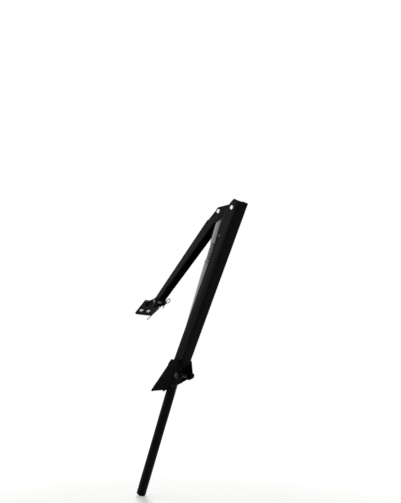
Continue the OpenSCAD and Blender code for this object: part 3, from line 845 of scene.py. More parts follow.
class Growth:
    """Geometry Nodes trees for what is wound or repeats, each built once."""

    @staticmethod
    def _start(name: str, sizes: Sequence[str], counts: Sequence[str]) -> tuple[NodeTree, Node, Node]:
        """Starts a tree with named sizes, named counts, a material and a geometry output."""
        inputs = dict.fromkeys(sizes, Plug.FLOAT) | dict.fromkeys(counts, Plug.COUNT) | {"Material": Plug.MATERIAL}
        return Wiring.group("GeometryNodeTree", name, inputs, {"Geometry": Plug.SHAPE})

    @staticmethod
    def _close(tree: NodeTree, shape: NodeSocket, material: NodeSocket, made: Node) -> None:
        """Ends a tree in Realize Instances and Set Material.

        Args:
            tree: The tree.
            shape: The finished geometry.
            material: The material's input.
            made: The output node.
        """
        real = Wiring.node(tree, "GeometryNodeRealizeInstances", {"Geometry": shape}).outputs["Geometry"]
        paint = Wiring.node(tree, "GeometryNodeSetMaterial", {"Geometry": real, "Material": material})
        Wiring.feed(tree, made, {"Geometry": paint.outputs["Geometry"]})

    @classmethod
    @cache
    def wound(cls) -> NodeTree:
        """A round wire wound about Z: a thread's ridge or a spring.

        Returns:
            The tree.
        """
        tree, given, made = cls._start("wound_wire", ("Radius", "Pitch", "Turns", "Wire"), ("Sides", "Steps"))
        size = given.outputs
        path = Wiring.node(tree, "GeometryNodeCurveSpiral", {
            "Resolution": size["Steps"], "Rotations": size["Turns"], "Start Radius": size["Radius"],
            "End Radius": size["Radius"], "Height": Wiring.math(tree, "MULTIPLY", size["Pitch"], size["Turns"]),
        })
        upright = Wiring.node(tree, "GeometryNodeSetCurveNormal", {"Curve": path.outputs["Curve"]})
        section = Wiring.node(
            tree, "GeometryNodeCurvePrimitiveCircle", {"Resolution": size["Sides"], "Radius": size["Wire"]}
        )
        sweep = Wiring.node(tree, "GeometryNodeCurveToMesh", {
            "Curve": upright.outputs["Curve"], "Profile Curve": section.outputs["Curve"], "Fill Caps": True,
        })
        cls._close(tree, sweep.outputs["Mesh"], size["Material"], made)
        return tree

    @classmethod
    @cache
    def ridged(cls) -> NodeTree:
        """Ridges that stand round a ring, each with a corner pointing outwards.

        Returns:
            The tree.
        """
        tree, given, made = cls._start("ridged_ring", ("Radius", "Ridge", "Height"), ("Count",))
        size = given.outputs
        circle = Wiring.node(
            tree, "GeometryNodeMeshCircle", {"Vertices": size["Count"], "Radius": size["Radius"]}
        )
        sides = Wiring.node(
            tree, "ShaderNodeCombineXYZ", {"X": size["Ridge"], "Y": size["Ridge"], "Z": size["Height"]}
        )
        block = Wiring.node(tree, "GeometryNodeMeshCube", {"Size": sides.outputs[0]}).outputs["Mesh"]
        corner = Wiring.node(
            tree, "GeometryNodeTransform", {"Geometry": block, "Rotation": (0.0, 0.0, math.pi / 4)}
        )
        index = tree.nodes.new("GeometryNodeInputIndex").outputs[0]
        share = Wiring.math(tree, "DIVIDE", index, size["Count"])
        facing = Wiring.node(
            tree, "ShaderNodeCombineXYZ", {"Z": Wiring.math(tree, "MULTIPLY", share, 2 * math.pi)}
        )
        spread = Wiring.node(tree, "GeometryNodeInstanceOnPoints", {
            "Points": circle.outputs["Mesh"], "Instance": corner.outputs["Geometry"],
            "Rotation": facing.outputs[0],
        })
        cls._close(tree, spread.outputs["Instances"], size["Material"], made)
        return tree

    @staticmethod
    def grow(tree: NodeTree, values: dict[str, object], place: Matrix) -> Mesh:
        """Runs a tree and takes its mesh.

        Args:
            tree: The tree.
            values: Value by input name.
            place: Where the piece goes.

        Returns:
            The new mesh.
        """
        seed = Shop.put("bench", bpy.data.meshes.new("seed"))
        grown = seed.modifiers.new("grown", "NODES")
        grown.node_group = tree
        for item in tree.interface.items_tree:
            if item.item_type == "SOCKET" and item.in_out == "INPUT":
                grown[item.identifier] = values[item.name]
        mesh = Shop.evaluated(seed)
        mesh.transform(place)
        return mesh

    @classmethod
    def thread(
        cls, radius: float, pitch: float, low: float, high: float, finish: Finish, place: Matrix, fill: float = 0.5
    ) -> Mesh:
        """A thread's ridge on a core.

        Args:
            radius: Outer radius of the thread.
            pitch: Distance between the turns.
            low: Height of its first turn.
            high: Height of its last turn.
            finish: Its finish.
            place: Where it goes.
            fill: Half width of the ridge, as a share of the pitch.

        Returns:
            The new mesh.
        """
        wire = pitch * fill
        values = {
            "Radius": (radius - wire) * MM, "Pitch": pitch * MM, "Turns": (high - low) / pitch, "Wire": wire * MM,
            "Sides": 4, "Steps": 24, "Material": finish.material(),
        }
        return cls.grow(cls.wound(), values, place @ RIG.shift(0.0, 0.0, low))

    @classmethod
    def ridges(
        cls, count: int, radius: float, ridge: float, low: float, high: float, finish: Finish, place: Matrix
    ) -> Mesh:
        """Ridges round a ring.

        Args:
            count: How many stand round the ring.
            radius: Outer radius of the ridges.
            ridge: Side of each ridge.
            low: Height of their foot.
            high: Height of their top.
            finish: Their finish.
            place: Where they go.

        Returns:
            The new mesh.
        """
        values = {
            "Radius": (radius - ridge / math.sqrt(2.0)) * MM, "Ridge": ridge * MM, "Height": (high - low) * MM,
            "Count": count, "Material": finish.material(),
        }
        return cls.grow(cls.ridged(), values, place @ RIG.shift(0.0, 0.0, (low + high) / 2))


class Dresser:
    """Puts finished meshes on bodies and gives CAD nodes their finishes."""

    count = 0

    @classmethod
    def settle(
        cls,
        name: str,
        mesh: Mesh,
        body: Optional[Body],
        finish: Finish,
        replaced: Sequence[str] = (),
        smooth: float = 38.0,
    ) -> bpy.types.Object:
        """Makes a piece of a mesh.

        Args:
            name: The piece's name.
            mesh: Its mesh, in place.
            body: The body it rides on, or None where it will bend between two.
            finish: Its finish.
            replaced: CAD nodes that it stands for.
            smooth: Angle in degrees above which an edge stays sharp.

        Returns:
            The piece.
        """
        mesh.name = name
        mesh.materials.clear()
        mesh.materials.append(finish.material())
        mesh.polygons.foreach_set("material_index", [0] * len(mesh.polygons))
        mesh.shade_smooth()
        mesh.set_sharp_from_angle(angle=math.radians(smooth))
        piece = Shop.put(name, mesh)
        if body is not None:
            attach(piece, body.value)
        if replaced:
            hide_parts(*replaced)
        cls.count += 1
        LOG.info("piece %s: %d faces", name, len(mesh.polygons))
        return piece

    @staticmethod
    def paint(node: str, finish: Finish) -> None:
        """Gives a CAD node that stays a finish.

        Args:
            node: The CAD node's name.
            finish: Its finish.
        """
        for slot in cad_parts[node].material_slots:
            slot.material = finish.material()
        LOG.info("node %s: %s", node, finish.name)


@dataclass
class HeadedPin:
    """A round pin with a domed head, and a toothed push-on clip on its tail."""

    radius: float = 3.0
    head_radius: float = 4.0
    head_height: float = 1.8
    head_rim: tuple[float, float] = (0.12, 0.12)
    tail: float = 3.5
    # Groove and broken edge of the tail, as depth and distance from its end.
    tail_shape: Profile = ((0.0, 1.0), (0.25, 0.9), (0.25, 0.6), (0.0, 0.5), (0.4, 0.0))
    clip_radius: float = 5.0
    clip_rim: float = 0.75
    # Cup of the clip inside its rim, as distance from the bore and height.
    cup_shape: Profile = ((1.2, 1.0), (0.9, 1.7), (0.3, 1.9), (0.3, 1.3), (0.7, 0.0))
    cup_edge: float = 0.15
    teeth: int = 8
    tooth: float = 0.75
    tooth_reach: float = 1.1
    tooth_span: tuple[float, float] = (1.2, 1.8)
    sides: int = 48

    def head(self, seat: float) -> Points:
        """Outline of the head and of the shank's start."""
        return Shop.headed(self.head_radius, seat, self.head_height, self.radius, self.head_rim)

    def pin(self, width: float, place: Matrix) -> Mesh:
        """The pin, with its head on the side of -Y.

        Args:
            width: Width that the pin holds together.
            place: Where its middle goes.

        Returns:
            The new mesh.
        """
        low, high = -width / 2 - SEAT, width / 2 + self.tail
        profile = self.head(low) + Shop.stepped(self.radius, high, self.tail_shape) + [(0.0, high)]
        return Shop.revolved(profile, place @ RIG.along_pins(), self.sides)

    def clip(self, width: float, finish: Finish, place: Matrix) -> Mesh:
        """The clip on the pin's tail, on the side of +Y.

        Args:
            width: Width that the pin holds together.
            finish: Its finish.
            place: Where the pin's middle goes.

        Returns:
            The new mesh.
        """
        along = place @ RIG.along_pins()
        low, inner, outer = width / 2 + SEAT, self.radius + SEAT, self.clip_radius
        cup = [(inner + wide, low + high) for wide, high in self.cup_shape]
        rim = [(outer, low), (outer, low + self.clip_rim)]
        foot, top = (low + height for height in self.tooth_span)
        teeth = Growth.ridges(self.teeth, inner + self.tooth_reach, self.tooth, foot, top, finish, along)
        return Shop.joined(Shop.ring(rim + cup, self.cup_edge, along, 2, self.sides), teeth)


PIN = HeadedPin()


@dataclass(frozen=True)
class Knurl:
    """A knurled ring on the strut's axis: its ridges, their side, depth and inset, and its rounded rims."""

    ridges: int
    side: float
    depth: float
    inset: float
    edge: float

    def ring(self, low: float, high: float, outer: float, inner: float, finish: Finish) -> Mesh:
        """Makes the ring.

        Args:
            low: Height of its foot.
            high: Height of its top.
            outer: Radius over the ridges.
            inner: Radius of its bore.
            finish: Its finish.

        Returns:
            The new mesh.
        """
        body = Shop.tube(low, high, outer - self.depth, inner, self.edge, RIG.strut())
        foot, top = low + self.inset, high - self.inset
        return Shop.joined(body, Growth.ridges(self.ridges, outer, self.side, foot, top, finish, RIG.strut()))


@dataclass
class SillEnd:
    """The folded saddle that holds the base arm, with its pivot bolt."""

    sheet_edge: float = 0.4
    outer_width: float = 29.2
    bolt_radius: float = 3.0
    across: float = 10.0
    head_height: float = 3.9
    face_share: float = 0.47
    face_height: float = 0.4
    head_overlap: float = 0.3
    sink: float = 1.0
    runout: float = 0.6
    tip: float = 0.5
    nut_height: float = 4.8
    hex_share: float = 0.72
    collar: tuple[float, float] = (4.5, 3.9)
    collar_sink: float = 0.6
    collar_edge: float = 0.3
    insert_radius: float = 3.88
    insert_fit: float = 0.03
    insert_sink: float = 0.2
    insert_drop: float = 0.4
    insert_edge: float = 0.25
    bore_beyond: float = 9.0
    tail: float = 2.0
    pitch: float = 1.0
    nut_smooth: float = 30.0

    def bolt(self) -> None:
        """Builds the bolt: washer face, turned-off head, plain shank and threaded tail."""
        place = RIG.sill_pivot() @ RIG.along_pins()
        half, radius = self.outer_width / 2, self.bolt_radius
        low, high = -half - SEAT, half + self.nut_height + self.tail
        foot, core = half - self.sink, radius - self.pitch * THREAD_DEPTH
        head = Shop.hexagon(self.across, low - self.head_height, low - self.head_overlap, (True, False), place)
        face = Shop.revolved(Shop.disc(self.across * self.face_share, low - self.face_height, low), place)
        shank = [
            (0.0, low - self.sink), (radius, low - self.sink), (radius, foot), (core, foot + self.runout),
            (core, high - self.tip), (core - self.tip, high), (0.0, high),
        ]
        ridge = Growth.thread(
            radius, self.pitch, foot + THREAD_LEAD, high - THREAD_LEAD, BLACKENED_STEEL, place
        )
        bolt = Shop.joined(head, face, Shop.revolved(shank, place, 48), ridge)
        Dresser.settle("pivot_bolt", bolt, Body.SILL, BLACKENED_STEEL, ["base_pivot_bolt"])

    def nut(self) -> None:
        """Builds the locking nut and its nylon insert."""
        place = RIG.sill_pivot() @ RIG.along_pins()
        low = self.outer_width / 2 + SEAT
        hex_top, top = low + self.nut_height * self.hex_share, low + self.nut_height
        bore = Shop.disc(self.bolt_radius + SEAT, low - self.sink, low + self.bore_beyond)
        block = Shop.hexagon(self.across, low, hex_top, (True, True), place)
        block = Shop.trimmed(block, Shop.revolved(bore, place, 48), Cut.DIFFERENCE)
        collar = Shop.tube(hex_top - self.collar_sink, top, *self.collar, self.collar_edge, place)
        nut = Shop.joined(block, collar)
        Dresser.settle("locking_nut", nut, Body.SILL, DARK_STEEL, ["base_pivot_nut"], self.nut_smooth)
        insert = Shop.tube(
            hex_top - self.insert_sink, top - self.insert_drop, self.insert_radius,
            self.bolt_radius + self.insert_fit, self.insert_edge, place,
        )
        Dresser.settle("nut_insert", insert, Body.SILL, NUT_NYLON)

    def build(self) -> None:
        """Builds the saddle, its bolt and its nut."""
        saddle = Shop.softened("base_bracket", self.sheet_edge)
        # The saddle gets the darker copy of the black coat as painted shade.
        Dresser.settle("sill_saddle", saddle, Body.SILL, SHADED_BLACK_COAT, ["base_bracket"])
        self.bolt()
        self.nut()
        Dresser.paint("base_pivot_washers", NYLON)


@dataclass
class BaseArm:
    """The long channel that carries the cylinder."""

    sheet_edge: float = 0.3
    holder_edge: float = 0.5
    width: float = 22.2
    spacer_height: float = 265.0
    spacer_inset: float = 5.5
    spacer_radius: float = 2.0
    spacer_head: float = 3.0
    spacer_rise: float = 1.12
    spacer_rim: tuple[float, float] = (0.1, 0.1)
    spacer_skirt: float = 0.25

    def spacer(self) -> None:
        """Builds the spacer rivet, with a formed head on each side."""
        place = RIG.base() @ RIG.shift(-self.spacer_inset, 0.0, self.spacer_height) @ RIG.along_pins()
        foot = Shop.headed(
            self.spacer_head, -self.width / 2 - SEAT, self.spacer_rise, self.spacer_radius, self.spacer_rim,
            self.spacer_skirt,
        )
        mesh = Shop.revolved(foot + [(r, -z) for r, z in reversed(foot)], place, 40)
        Dresser.settle("spacer_stud", mesh, Body.BASE, DARK_STEEL, ["spacer_rivet"])

    def build(self) -> None:
        """Builds the base arm."""
        channel = Shop.softened("base_arm", self.sheet_edge)
        Dresser.settle("base_channel", channel, Body.BASE, BLACK_COAT, ["base_arm"])
        self.spacer()
        apex = RIG.base_end()
        Dresser.settle("apex_stud", PIN.pin(self.width, apex), Body.BASE, ZINC, ["apex_pin"])
        Dresser.settle("apex_push_clip", PIN.clip(self.width, ZINC, apex), Body.BASE, ZINC, ["apex_clip"])
        holder = Shop.softened("cylinder_holder", self.holder_edge)
        Dresser.settle("holder_block", holder, Body.BASE, BLACK_COAT, ["cylinder_holder"])
        Dresser.paint("holder_rivets", DULL_STEEL)


@dataclass
class WaxCylinder:
    """The slim cylinder, its gland and lock ring, and the sleeve that guides the push tube."""

    radius: float = 9.0
    bore: float = 7.8
    foot: float = -254.04
    top: float = -33.04
    # Rolled crimp at each end, as depth and distance from the end.
    crimp_shape: Profile = ((0.0, 9.0), (0.45, 7.8), (0.45, 6.6), (0.0, 5.4), (0.0, 0.0))
    barrel_edge: float = 0.5
    cap_height: float = 3.0
    # Filling plug and dish of the end cap, as radius and height.
    dish_shape: Profile = ((0.0, 1.0), (1.8, 1.0), (2.0, 0.6), (5.4, 0.6), (6.4, 0.0))
    cap_edge: float = 0.7
    plug_height: float = 7.0
    plug_fit: float = 0.03
    shoulder: float = -27.04
    nose_radius: float = 6.0
    nose_top: float = -4.02
    nose_pitch: float = 1.25
    gland_length: float = 16.0
    gland_edge: float = 0.3
    rod_bore: float = 3.1
    ring_radius: float = 9.0
    ring_height: float = 5.0
    ring_knurl: Knurl = Knurl(44, 0.8, 0.35, 0.6, 0.4)
    wax_foot: float = -247.02
    wax_top: float = -125.06
    wax_fit: float = 0.06
    wax_levels: int = 12
    spring_radius: float = 5.5
    spring_wire: float = 0.6
    spring_foot: float = 28.65
    spring_top: float = 125.35
    spring_turns: int = 14

    def barrel(self) -> None:
        """Builds the cylinder's tube, with a rolled crimp at each end."""
        upper = Shop.stepped(self.radius, self.top, self.crimp_shape)
        lower = [(self.radius - depth, self.foot + back) for depth, back in reversed(self.crimp_shape)]
        middle = (self.radius, (self.foot + self.top) / 2)
        outline = [middle, *upper, (self.bore, self.top), (self.bore, self.foot), *lower]
        mesh = Shop.ring(outline, self.barrel_edge, RIG.strut(), 3, 72)
        Dresser.settle("cylinder_barrel", mesh, Body.BASE, BLACK_TUBE, ["wax_cylinder"])

    def cap(self) -> None:
        """Builds the end cap, with a shallow dish and a filling plug."""
        low, seat = self.foot - self.cap_height, self.foot - SEAT
        plug, plug_top = self.bore - self.plug_fit, self.foot + self.plug_height
        dish = [(wide, low + high) for wide, high in self.dish_shape]
        side = [(self.radius, low), (self.radius, seat), (plug, seat), (plug, plug_top), (0.0, plug_top)]
        mesh = Shop.revolved(Shop.rounded(dish + side, self.cap_edge), RIG.strut(), 72)
        Dresser.settle("cylinder_end", mesh, Body.BASE, BLACK_TUBE, ["cylinder_end_cap"])

    def gland(self) -> None:
        """Builds the gland with its threaded nose."""
        low, wide = self.top - self.gland_length, self.bore - SEAT
        core = self.nose_radius - self.nose_pitch * THREAD_DEPTH
        outline = [
            (self.rod_bore, low), (wide, low), (wide, self.top), (self.radius, self.top + SEAT),
            (self.radius, self.shoulder), (core, self.shoulder), (core, self.nose_top), (self.rod_bore, self.nose_top),
        ]
        turned = Shop.ring(outline, self.gland_edge, RIG.strut(), 2)
        foot, end = self.shoulder + THREAD_LEAD, self.nose_top - THREAD_LEAD
        ridge = Growth.thread(self.nose_radius, self.nose_pitch, foot, end, BLACKENED_STEEL, RIG.strut())
        nose = Shop.joined(turned, ridge)
        Dresser.settle("gland_nose", nose, Body.BASE, BLACKENED_STEEL, ["cylinder_gland"])

    def lock_ring(self) -> None:
        """Builds the knurled lock ring."""
        low = self.shoulder + SEAT
        bore = self.nose_radius + SEAT
        ring = self.ring_knurl.ring(low, low + self.ring_height, self.ring_radius, bore, BLACK_TUBE)
        Dresser.settle("knurled_ring", ring, Body.BASE, BLACK_TUBE, ["cylinder_lock_ring"])

    def spring(self) -> None:
        """Builds the return spring, which shortens as the push tube rises."""
        pitch = (self.spring_top - self.spring_foot) / self.spring_turns
        values = {
            "Radius": self.spring_radius * MM, "Pitch": pitch * MM, "Turns": float(self.spring_turns),
            "Wire": self.spring_wire * MM, "Sides": 10, "Steps": 32, "Material": ZINC.material(),
        }
        mesh = Growth.grow(Growth.wound(), values, RIG.strut() @ RIG.shift(0.0, 0.0, self.spring_foot))
        piece = Dresser.settle("closing_spring", mesh, None, ZINC, ["return_spring"])
        start, end = RIG.on_strut(self.spring_top), RIG.on_strut(self.spring_foot)
        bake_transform(piece, Body.BASE.value, Body.STRUT.value, start=start, end=end)

    def wax(self) -> None:
        """Builds the wax charge, which swells with the piston."""
        length, count = self.wax_top - self.wax_foot, self.wax_levels
        levels = [self.wax_foot + length * i / count for i in range(count + 1)]
        side = [(self.bore - self.wax_fit, z) for z in levels]
        mesh = Shop.revolved([(0.0, levels[0]), *side, (0.0, levels[-1])], RIG.strut(), 48)
        piece = Dresser.settle("wax_fill", mesh, None, WAX, ["wax_charge"])
        start, end = RIG.on_strut(self.wax_foot), RIG.on_strut(self.wax_top)
        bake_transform(piece, Body.BASE.value, Body.STRUT.value, start=start, end=end)

    def build(self) -> None:
        """Builds the cylinder."""
        self.barrel()
        self.cap()
        self.gland()
        self.lock_ring()
        self.spring()
        self.wax()
        Dresser.paint("gland_seal", RUBBER)
        Dresser.paint("guide_sleeve", DRAWN_STEEL)
        Dresser.paint("sleeve_head", ZINC)


@dataclass
class PushStrut:
    """The pieces that the wax pushes: tube, adjuster, rod and cap."""

    tube_radius: float = 7.5
    tube_bore: float = 6.5
    tube_foot: float = 18.0
    tube_top: float = 206.0
    # Rolled-in upper rim of the tube, as depth and distance from its top.
    rim_shape: Profile = ((0.0, 9.0), (0.3, 8.2), (0.3, 7.4), (0.0, 6.6), (0.0, 0.0))
    tube_edge: float = 0.35
    plug_foot: float = 190.0
    thread_radius: float = 6.75
    thread_top: float = 246.0
    thread_fill: float = 0.3
    thread_start: float = 1.2
    thread_stop: float = 1.4
    pitch: float = 3.0
    stem_edge: float = 0.4
    nut_height: float = 7.7
    nut_knurl: Knurl = Knurl(48, 0.5, 0.3, 0.7, 0.5)
    rod_radius: float = 7.5
    rod_edge: float = 0.3
    stub_radius: float = 4.0
    stub_length: float = 14.0
    spigot_share: float = 0.625
    spigot_height: float = 3.5
    cap_top: float = 299.23
    cap_height: float = 6.0
    cap_foot: float = 0.8
    # Broken upper edge of the cap, as depth and distance from its top.
    cap_shape: Profile = ((0.0, 1.3), (1.2, 0.0))
    cap_edge: float = 0.4

    def tube(self) -> None:
        """Builds the push tube, with a rolled-in upper rim."""
        outer, inner, low, high = self.tube_radius, self.tube_bore, self.tube_foot, self.tube_top
        rim = Shop.stepped(outer, high, self.rim_shape)
        outline = [(outer, (low + high) / 2), *rim, (inner, high), (inner, low), (outer, low)]
        mesh = Shop.ring(outline, self.tube_edge, RIG.strut(), 3, 72)
        Dresser.settle("bright_tube", mesh, Body.STRUT, DRAWN_STEEL, ["push_tube"])

    def adjuster(self) -> None:
        """Builds the adjuster screw and its knurled nut; the screw's core is darker steel than its thread's crest, as
        painted shade between the turns and painted glints on them.
        """
        core, plug = self.thread_radius - self.pitch * self.thread_fill, self.tube_bore - SEAT
        low, high = self.tube_top, self.thread_top
        stub, stub_top = self.stub_radius, high + self.stub_length
        outline = [
            (0.0, self.plug_foot), (plug, self.plug_foot), (plug, low), (core, low), (core, high), (stub, high),
            (stub, stub_top), (0.0, stub_top),
        ]
        stem = Shop.revolved(Shop.rounded(outline, self.stem_edge, 3), RIG.strut(), 64)
        # The stem is in darker steel than the crest: painted shade between the thread's turns.
        Dresser.settle("threaded_stem", stem, Body.STRUT, DARK_STEEL, ["adjuster_screw"])
        # The crest is in lighter steel than the stem: painted glints on the thread's turns.
        glinting_crest = Growth.thread(
            self.thread_radius, self.pitch, low + self.thread_start, high - self.thread_stop, DULL_STEEL,
            RIG.strut(), self.thread_fill,
        )
        Dresser.settle("glinting_thread_crest", glinting_crest, Body.STRUT, DULL_STEEL)
        foot, bore = low + SEAT, self.thread_radius + SEAT
        nut = self.nut_knurl.ring(foot, foot + self.nut_height, self.tube_radius, bore, DULL_STEEL)
        Dresser.settle("knurled_nut", nut, Body.STRUT, DULL_STEEL, ["adjuster_nut"])

    def rod(self) -> None:
        """Builds the push rod and the cap that bears on the roller."""
        shoulder = self.cap_top - self.cap_height - SEAT
        foot, seat = self.thread_top + SEAT, self.thread_top + self.stub_length + SEAT
        bore, spigot, rise = self.stub_radius + SEAT, self.stub_radius * self.spigot_share, self.spigot_height
        outline = [
            (0.0, seat), (bore, seat), (bore, foot), (self.rod_radius, foot), (self.rod_radius, shoulder),
            (spigot, shoulder), (spigot, shoulder + rise), (0.0, shoulder + rise),
        ]
        mesh = Shop.revolved(Shop.rounded(outline, self.rod_edge, 2), RIG.strut(), 72)
        Dresser.settle("bright_rod", mesh, Body.STRUT, DRAWN_STEEL, ["push_rod"])
        low, high, wide, hole = shoulder + SEAT, self.cap_top, self.tube_radius, spigot + SEAT
        roof = low + rise + SEAT
        outline = [
            (hole, roof), (hole, low), (wide - self.cap_foot, low), (wide, low + self.cap_foot),
            *Shop.stepped(wide, high, self.cap_shape), (0.0, high),
        ]
        cap = Shop.revolved([(0.0, roof), *Shop.rounded(outline, self.cap_edge, 3)], RIG.strut(), 64)
        Dresser.settle("bearing_cap", cap, Body.STRUT, DULL_STEEL, ["push_cap"])

    def build(self) -> None:
        """Builds the strut."""
        self.tube()
        self.adjuster()
        self.rod()
        Dresser.paint("piston", BRASS)
        Dresser.paint("piston_rod", DRAWN_STEEL)
        Dresser.paint("tube_foot_bush", NYLON)


@dataclass
class TopArm:
    """The cranked channel, with its push pin and roller."""

    sheet_edge: float = 0.25
    width: float = 18.4
    roller_radius: float = 5.0
    roller_bore: float = 3.05
    roller_half: float = 7.75
    roller_edge: float = 0.5

    def roller(self) -> None:
        """Builds the roller, with rounded ends."""
        place, half = RIG.push() @ RIG.along_pins(), self.roller_half
        mesh = Shop.tube(-half, half, self.roller_radius, self.roller_bore, self.roller_edge, place)
        Dresser.settle("bearing_roller", mesh, Body.ROLLER, DULL_STEEL, ["push_roller"])

    def build(self) -> None:
        """Builds the top arm."""
        channel = Shop.softened("top_arm", self.sheet_edge)
        Dresser.settle("top_channel", channel, Body.TOP, BLACK_COAT, ["top_arm"])
        Dresser.settle("push_stud", PIN.pin(self.width, RIG.push()), Body.TOP, ZINC, ["push_pin"])
        Dresser.settle("push_push_clip", PIN.clip(self.width, ZINC, RIG.push()), Body.TOP, ZINC, ["push_clip"])
        self.roller()
        Dresser.paint("apex_sleeve", NYLON)


@dataclass
class WindowEnd:
    """The plate at the top arm's end, with its pin, hairpin clip and screws."""

    sheet_edge: float = 0.35
    plate_face: float = -12.0
    plate_thickness: float = 2.0
    screw_height: float = -48.0
    screw_reach: float = 8.5
    screw_shift: float = -5.5
    screw_radius: float = 2.0
    neck_radius: float = 2.3
    neck_taper: float = 0.1
    screw_length: float = 10.0
    screw_pitch: float = 1.4
    screw_depth: float = 0.42
    screw_lead: float = 0.5
    tip_radius: float = 0.5
    tip_length: float = 2.0
    head_radius: float = 4.0
    head_height: float = 2.2
    head_rim: tuple[float, float] = (0.1, 0.08)
    recess_arm: float = 2.1
    recess_half: float = 0.42
    recess_floor: float = 0.42
    recess_turn: float = 0.4
    recess_beyond: float = 1.0
    ear_half: float = 11.7
    pin_end: float = 3.0
    # Broken edge of the pin's end, as depth and distance from it.
    end_shape: Profile = ((0.0, 0.9), (0.7, 0.0))
    hole_fit: float = 0.05
    drill_half: float = 6.0
    clip_station: float = 14.1
    clip_turn: float = 6.4
    clip_wire: float = 0.9
    clip_leg: float = 76.0
    clip_gap: float = 0.3
    leg_mid: float = -20.0
    eye_radius: float = 3.6
    eye_rise: float = 15.0
    eye_steps: int = 18
    bend_steps: int = 6
    # The hugging leg above and below the pin, across and along the straight leg.
    clip_neck: Profile = ((7.2, 16.0), (7.2, 15.0), (6.0, 9.0))
    clip_grip: tuple[float, float] = (4.0, -2.6)
    clip_tip: Profile = ((5.8, -7.5), (7.2, -12.0), (7.6, -13.0))
    # Rounded upper edge of the plate, in lighter steel than the plate: a painted highlight of that edge.
    highlight_radius: float = 1.63
    highlight_at: tuple[float, float] = (-12.1, -15.0)
    highlight_half: float = 21.47
    highlight_edge: float = 0.5

    def screw(self, side: float) -> Mesh:
        """One screw, with a crossed recess in its head and a thread behind the plate.

        Args:
            side: -1 or 1, for the near or the far screw.

        Returns:
            The new mesh.
        """
        across = self.screw_shift + side * self.screw_reach
        place = RIG.window() @ RIG.shift(self.plate_face, across, self.screw_height) @ RIG.turn(-90.0)
        back, height = self.plate_thickness, self.head_height
        core, end = self.screw_radius - self.screw_pitch * self.screw_depth, back + self.screw_length
        tip = end - self.tip_length
        outline = Shop.headed(self.head_radius, -SEAT, height, self.neck_radius, self.head_rim) + [
            (self.neck_radius, back), (core, back + self.neck_taper), (core, tip), (self.tip_radius, end), (0.0, end),
        ]
        arm, slot = self.recess_arm, self.recess_half
        cross = [(arm, slot), (slot, slot), (slot, arm)]
        for _ in range(3):
            cross += [(-y, x) for x, y in cross[-3:]]
        turned = Matrix.Rotation(self.recess_turn * side, 4, "Z")
        recess = Shop.prism(cross, -height - self.recess_beyond, -height * self.recess_floor, turned)
        head = Shop.trimmed(Shop.revolved(outline, Matrix.Identity(4), 48), recess, Cut.DIFFERENCE)
        ridge = Growth.thread(
            self.screw_radius, self.screw_pitch, back + self.screw_lead, tip, ZINC, Matrix.Identity(4)
        )
        whole = Shop.joined(head, ridge)
        whole.transform(place)
        return whole

    def pin(self) -> None:
        """Builds the pin, with its domed near head and its cross hole."""
        end = self.clip_station + self.pin_end
        outline = PIN.head(-self.ear_half - SEAT) + Shop.stepped(PIN.radius, end, self.end_shape) + [(0.0, end)]
        blank = Shop.revolved(outline, RIG.window() @ RIG.along_pins(), 48)
        hole = Shop.disc(self.clip_wire + self.hole_fit, -self.drill_half, self.drill_half)
        mesh = Shop.trimmed(blank, Shop.revolved(hole, self.clip_place(), 24), Cut.DIFFERENCE)
        Dresser.settle("drilled_pin", mesh, Body.WINDOW, GREY_STEEL, ["window_pin"])

    def clip_place(self) -> Matrix:
        """Place of the hairpin clip: its straight leg runs along Z."""
        return RIG.window() @ RIG.shift(0.0, self.clip_station, 0.0) @ RIG.turn(self.clip_turn)

    def clip(self) -> None:
        """Builds the hairpin clip: straight leg, eye, and a leg that hugs the pin."""
        hug = PIN.radius + self.clip_wire + self.clip_gap
        eye, rise, blunt = self.eye_radius, self.eye_rise, 0.5
        leg = (-self.clip_leg, blunt - self.clip_leg, self.leg_mid, 0.0, rise - blunt)
        turns = [math.pi * (1 - i / self.eye_steps) for i in range(self.eye_steps + 1)]
        path = [Vector((0.0, 0.0, z)) for z in leg]
        path += [Vector((eye + eye * math.cos(a), 0.0, rise + eye * math.sin(a))) for a in turns]
        bends = [*self.clip_neck, *((hug, z) for z in self.clip_grip), *self.clip_tip]
        knots = [Vector((x, 0.0, z)) for x, z in bends]
        for a, b, c, d in zip(knots, knots[1:], knots[2:], knots[3:]):
            for t in (i / self.bend_steps for i in range(1, self.bend_steps + 1)):
                cubic = (d - a + (b - c) * 3) * t**3 + (a * 2 - b * 5 + c * 4 - d) * t**2 + (c - a) * t + b * 2
                path.append(cubic / 2)
        mesh = Shop.swept(path, self.clip_wire, self.clip_place())
        Dresser.settle("hairpin_clip", mesh, Body.WINDOW, DARK_STEEL, ["window_pin_clip"])

    def highlight_bead(self) -> None:
        """Builds a rounded upper edge of the plate, in lighter steel than the black plate as a painted highlight of
        that edge.
        """
        place = RIG.window() @ RIG.shift(self.highlight_at[0], 0.0, self.highlight_at[1]) @ RIG.along_pins()
        outline = Shop.rounded(Shop.disc(self.highlight_radius, -self.highlight_half, self.highlight_half), self.highlight_edge, 3)
        Dresser.settle("plate_highlight_bead", Shop.revolved(outline, place, 32), Body.WINDOW, DULL_STEEL)

    def build(self) -> None:
        """Builds the plate and what is fixed to it."""
        plate = Shop.softened("window_bracket", self.sheet_edge)
        Dresser.settle("sash_plate", plate, Body.WINDOW, BLACK_COAT, ["window_bracket"])
        self.highlight_bead()
        self.pin()
        self.clip()
        screws = Shop.joined(*(self.screw(side) for side in (-1.0, 1.0)))
        Dresser.settle("sash_screws", screws, Body.WINDOW, ZINC, ["window_screws"])


@dataclass(frozen=True)
class Lamp:
    """A soft square lamp: where it hangs, its side in metres and its power in watts."""

    name: str
    place: Triple
    size: float
    power: float

    def hang(self, aim: Triple) -> None:
        """Hangs the lamp.

        Args:
            aim: What it points at.
        """
        light = bpy.data.lights.new(self.name, "AREA")
        light.size = self.size
        light.energy = self.power
        Studio.aimed(self.name, light, self.place, Vector(aim) - Vector(self.place))


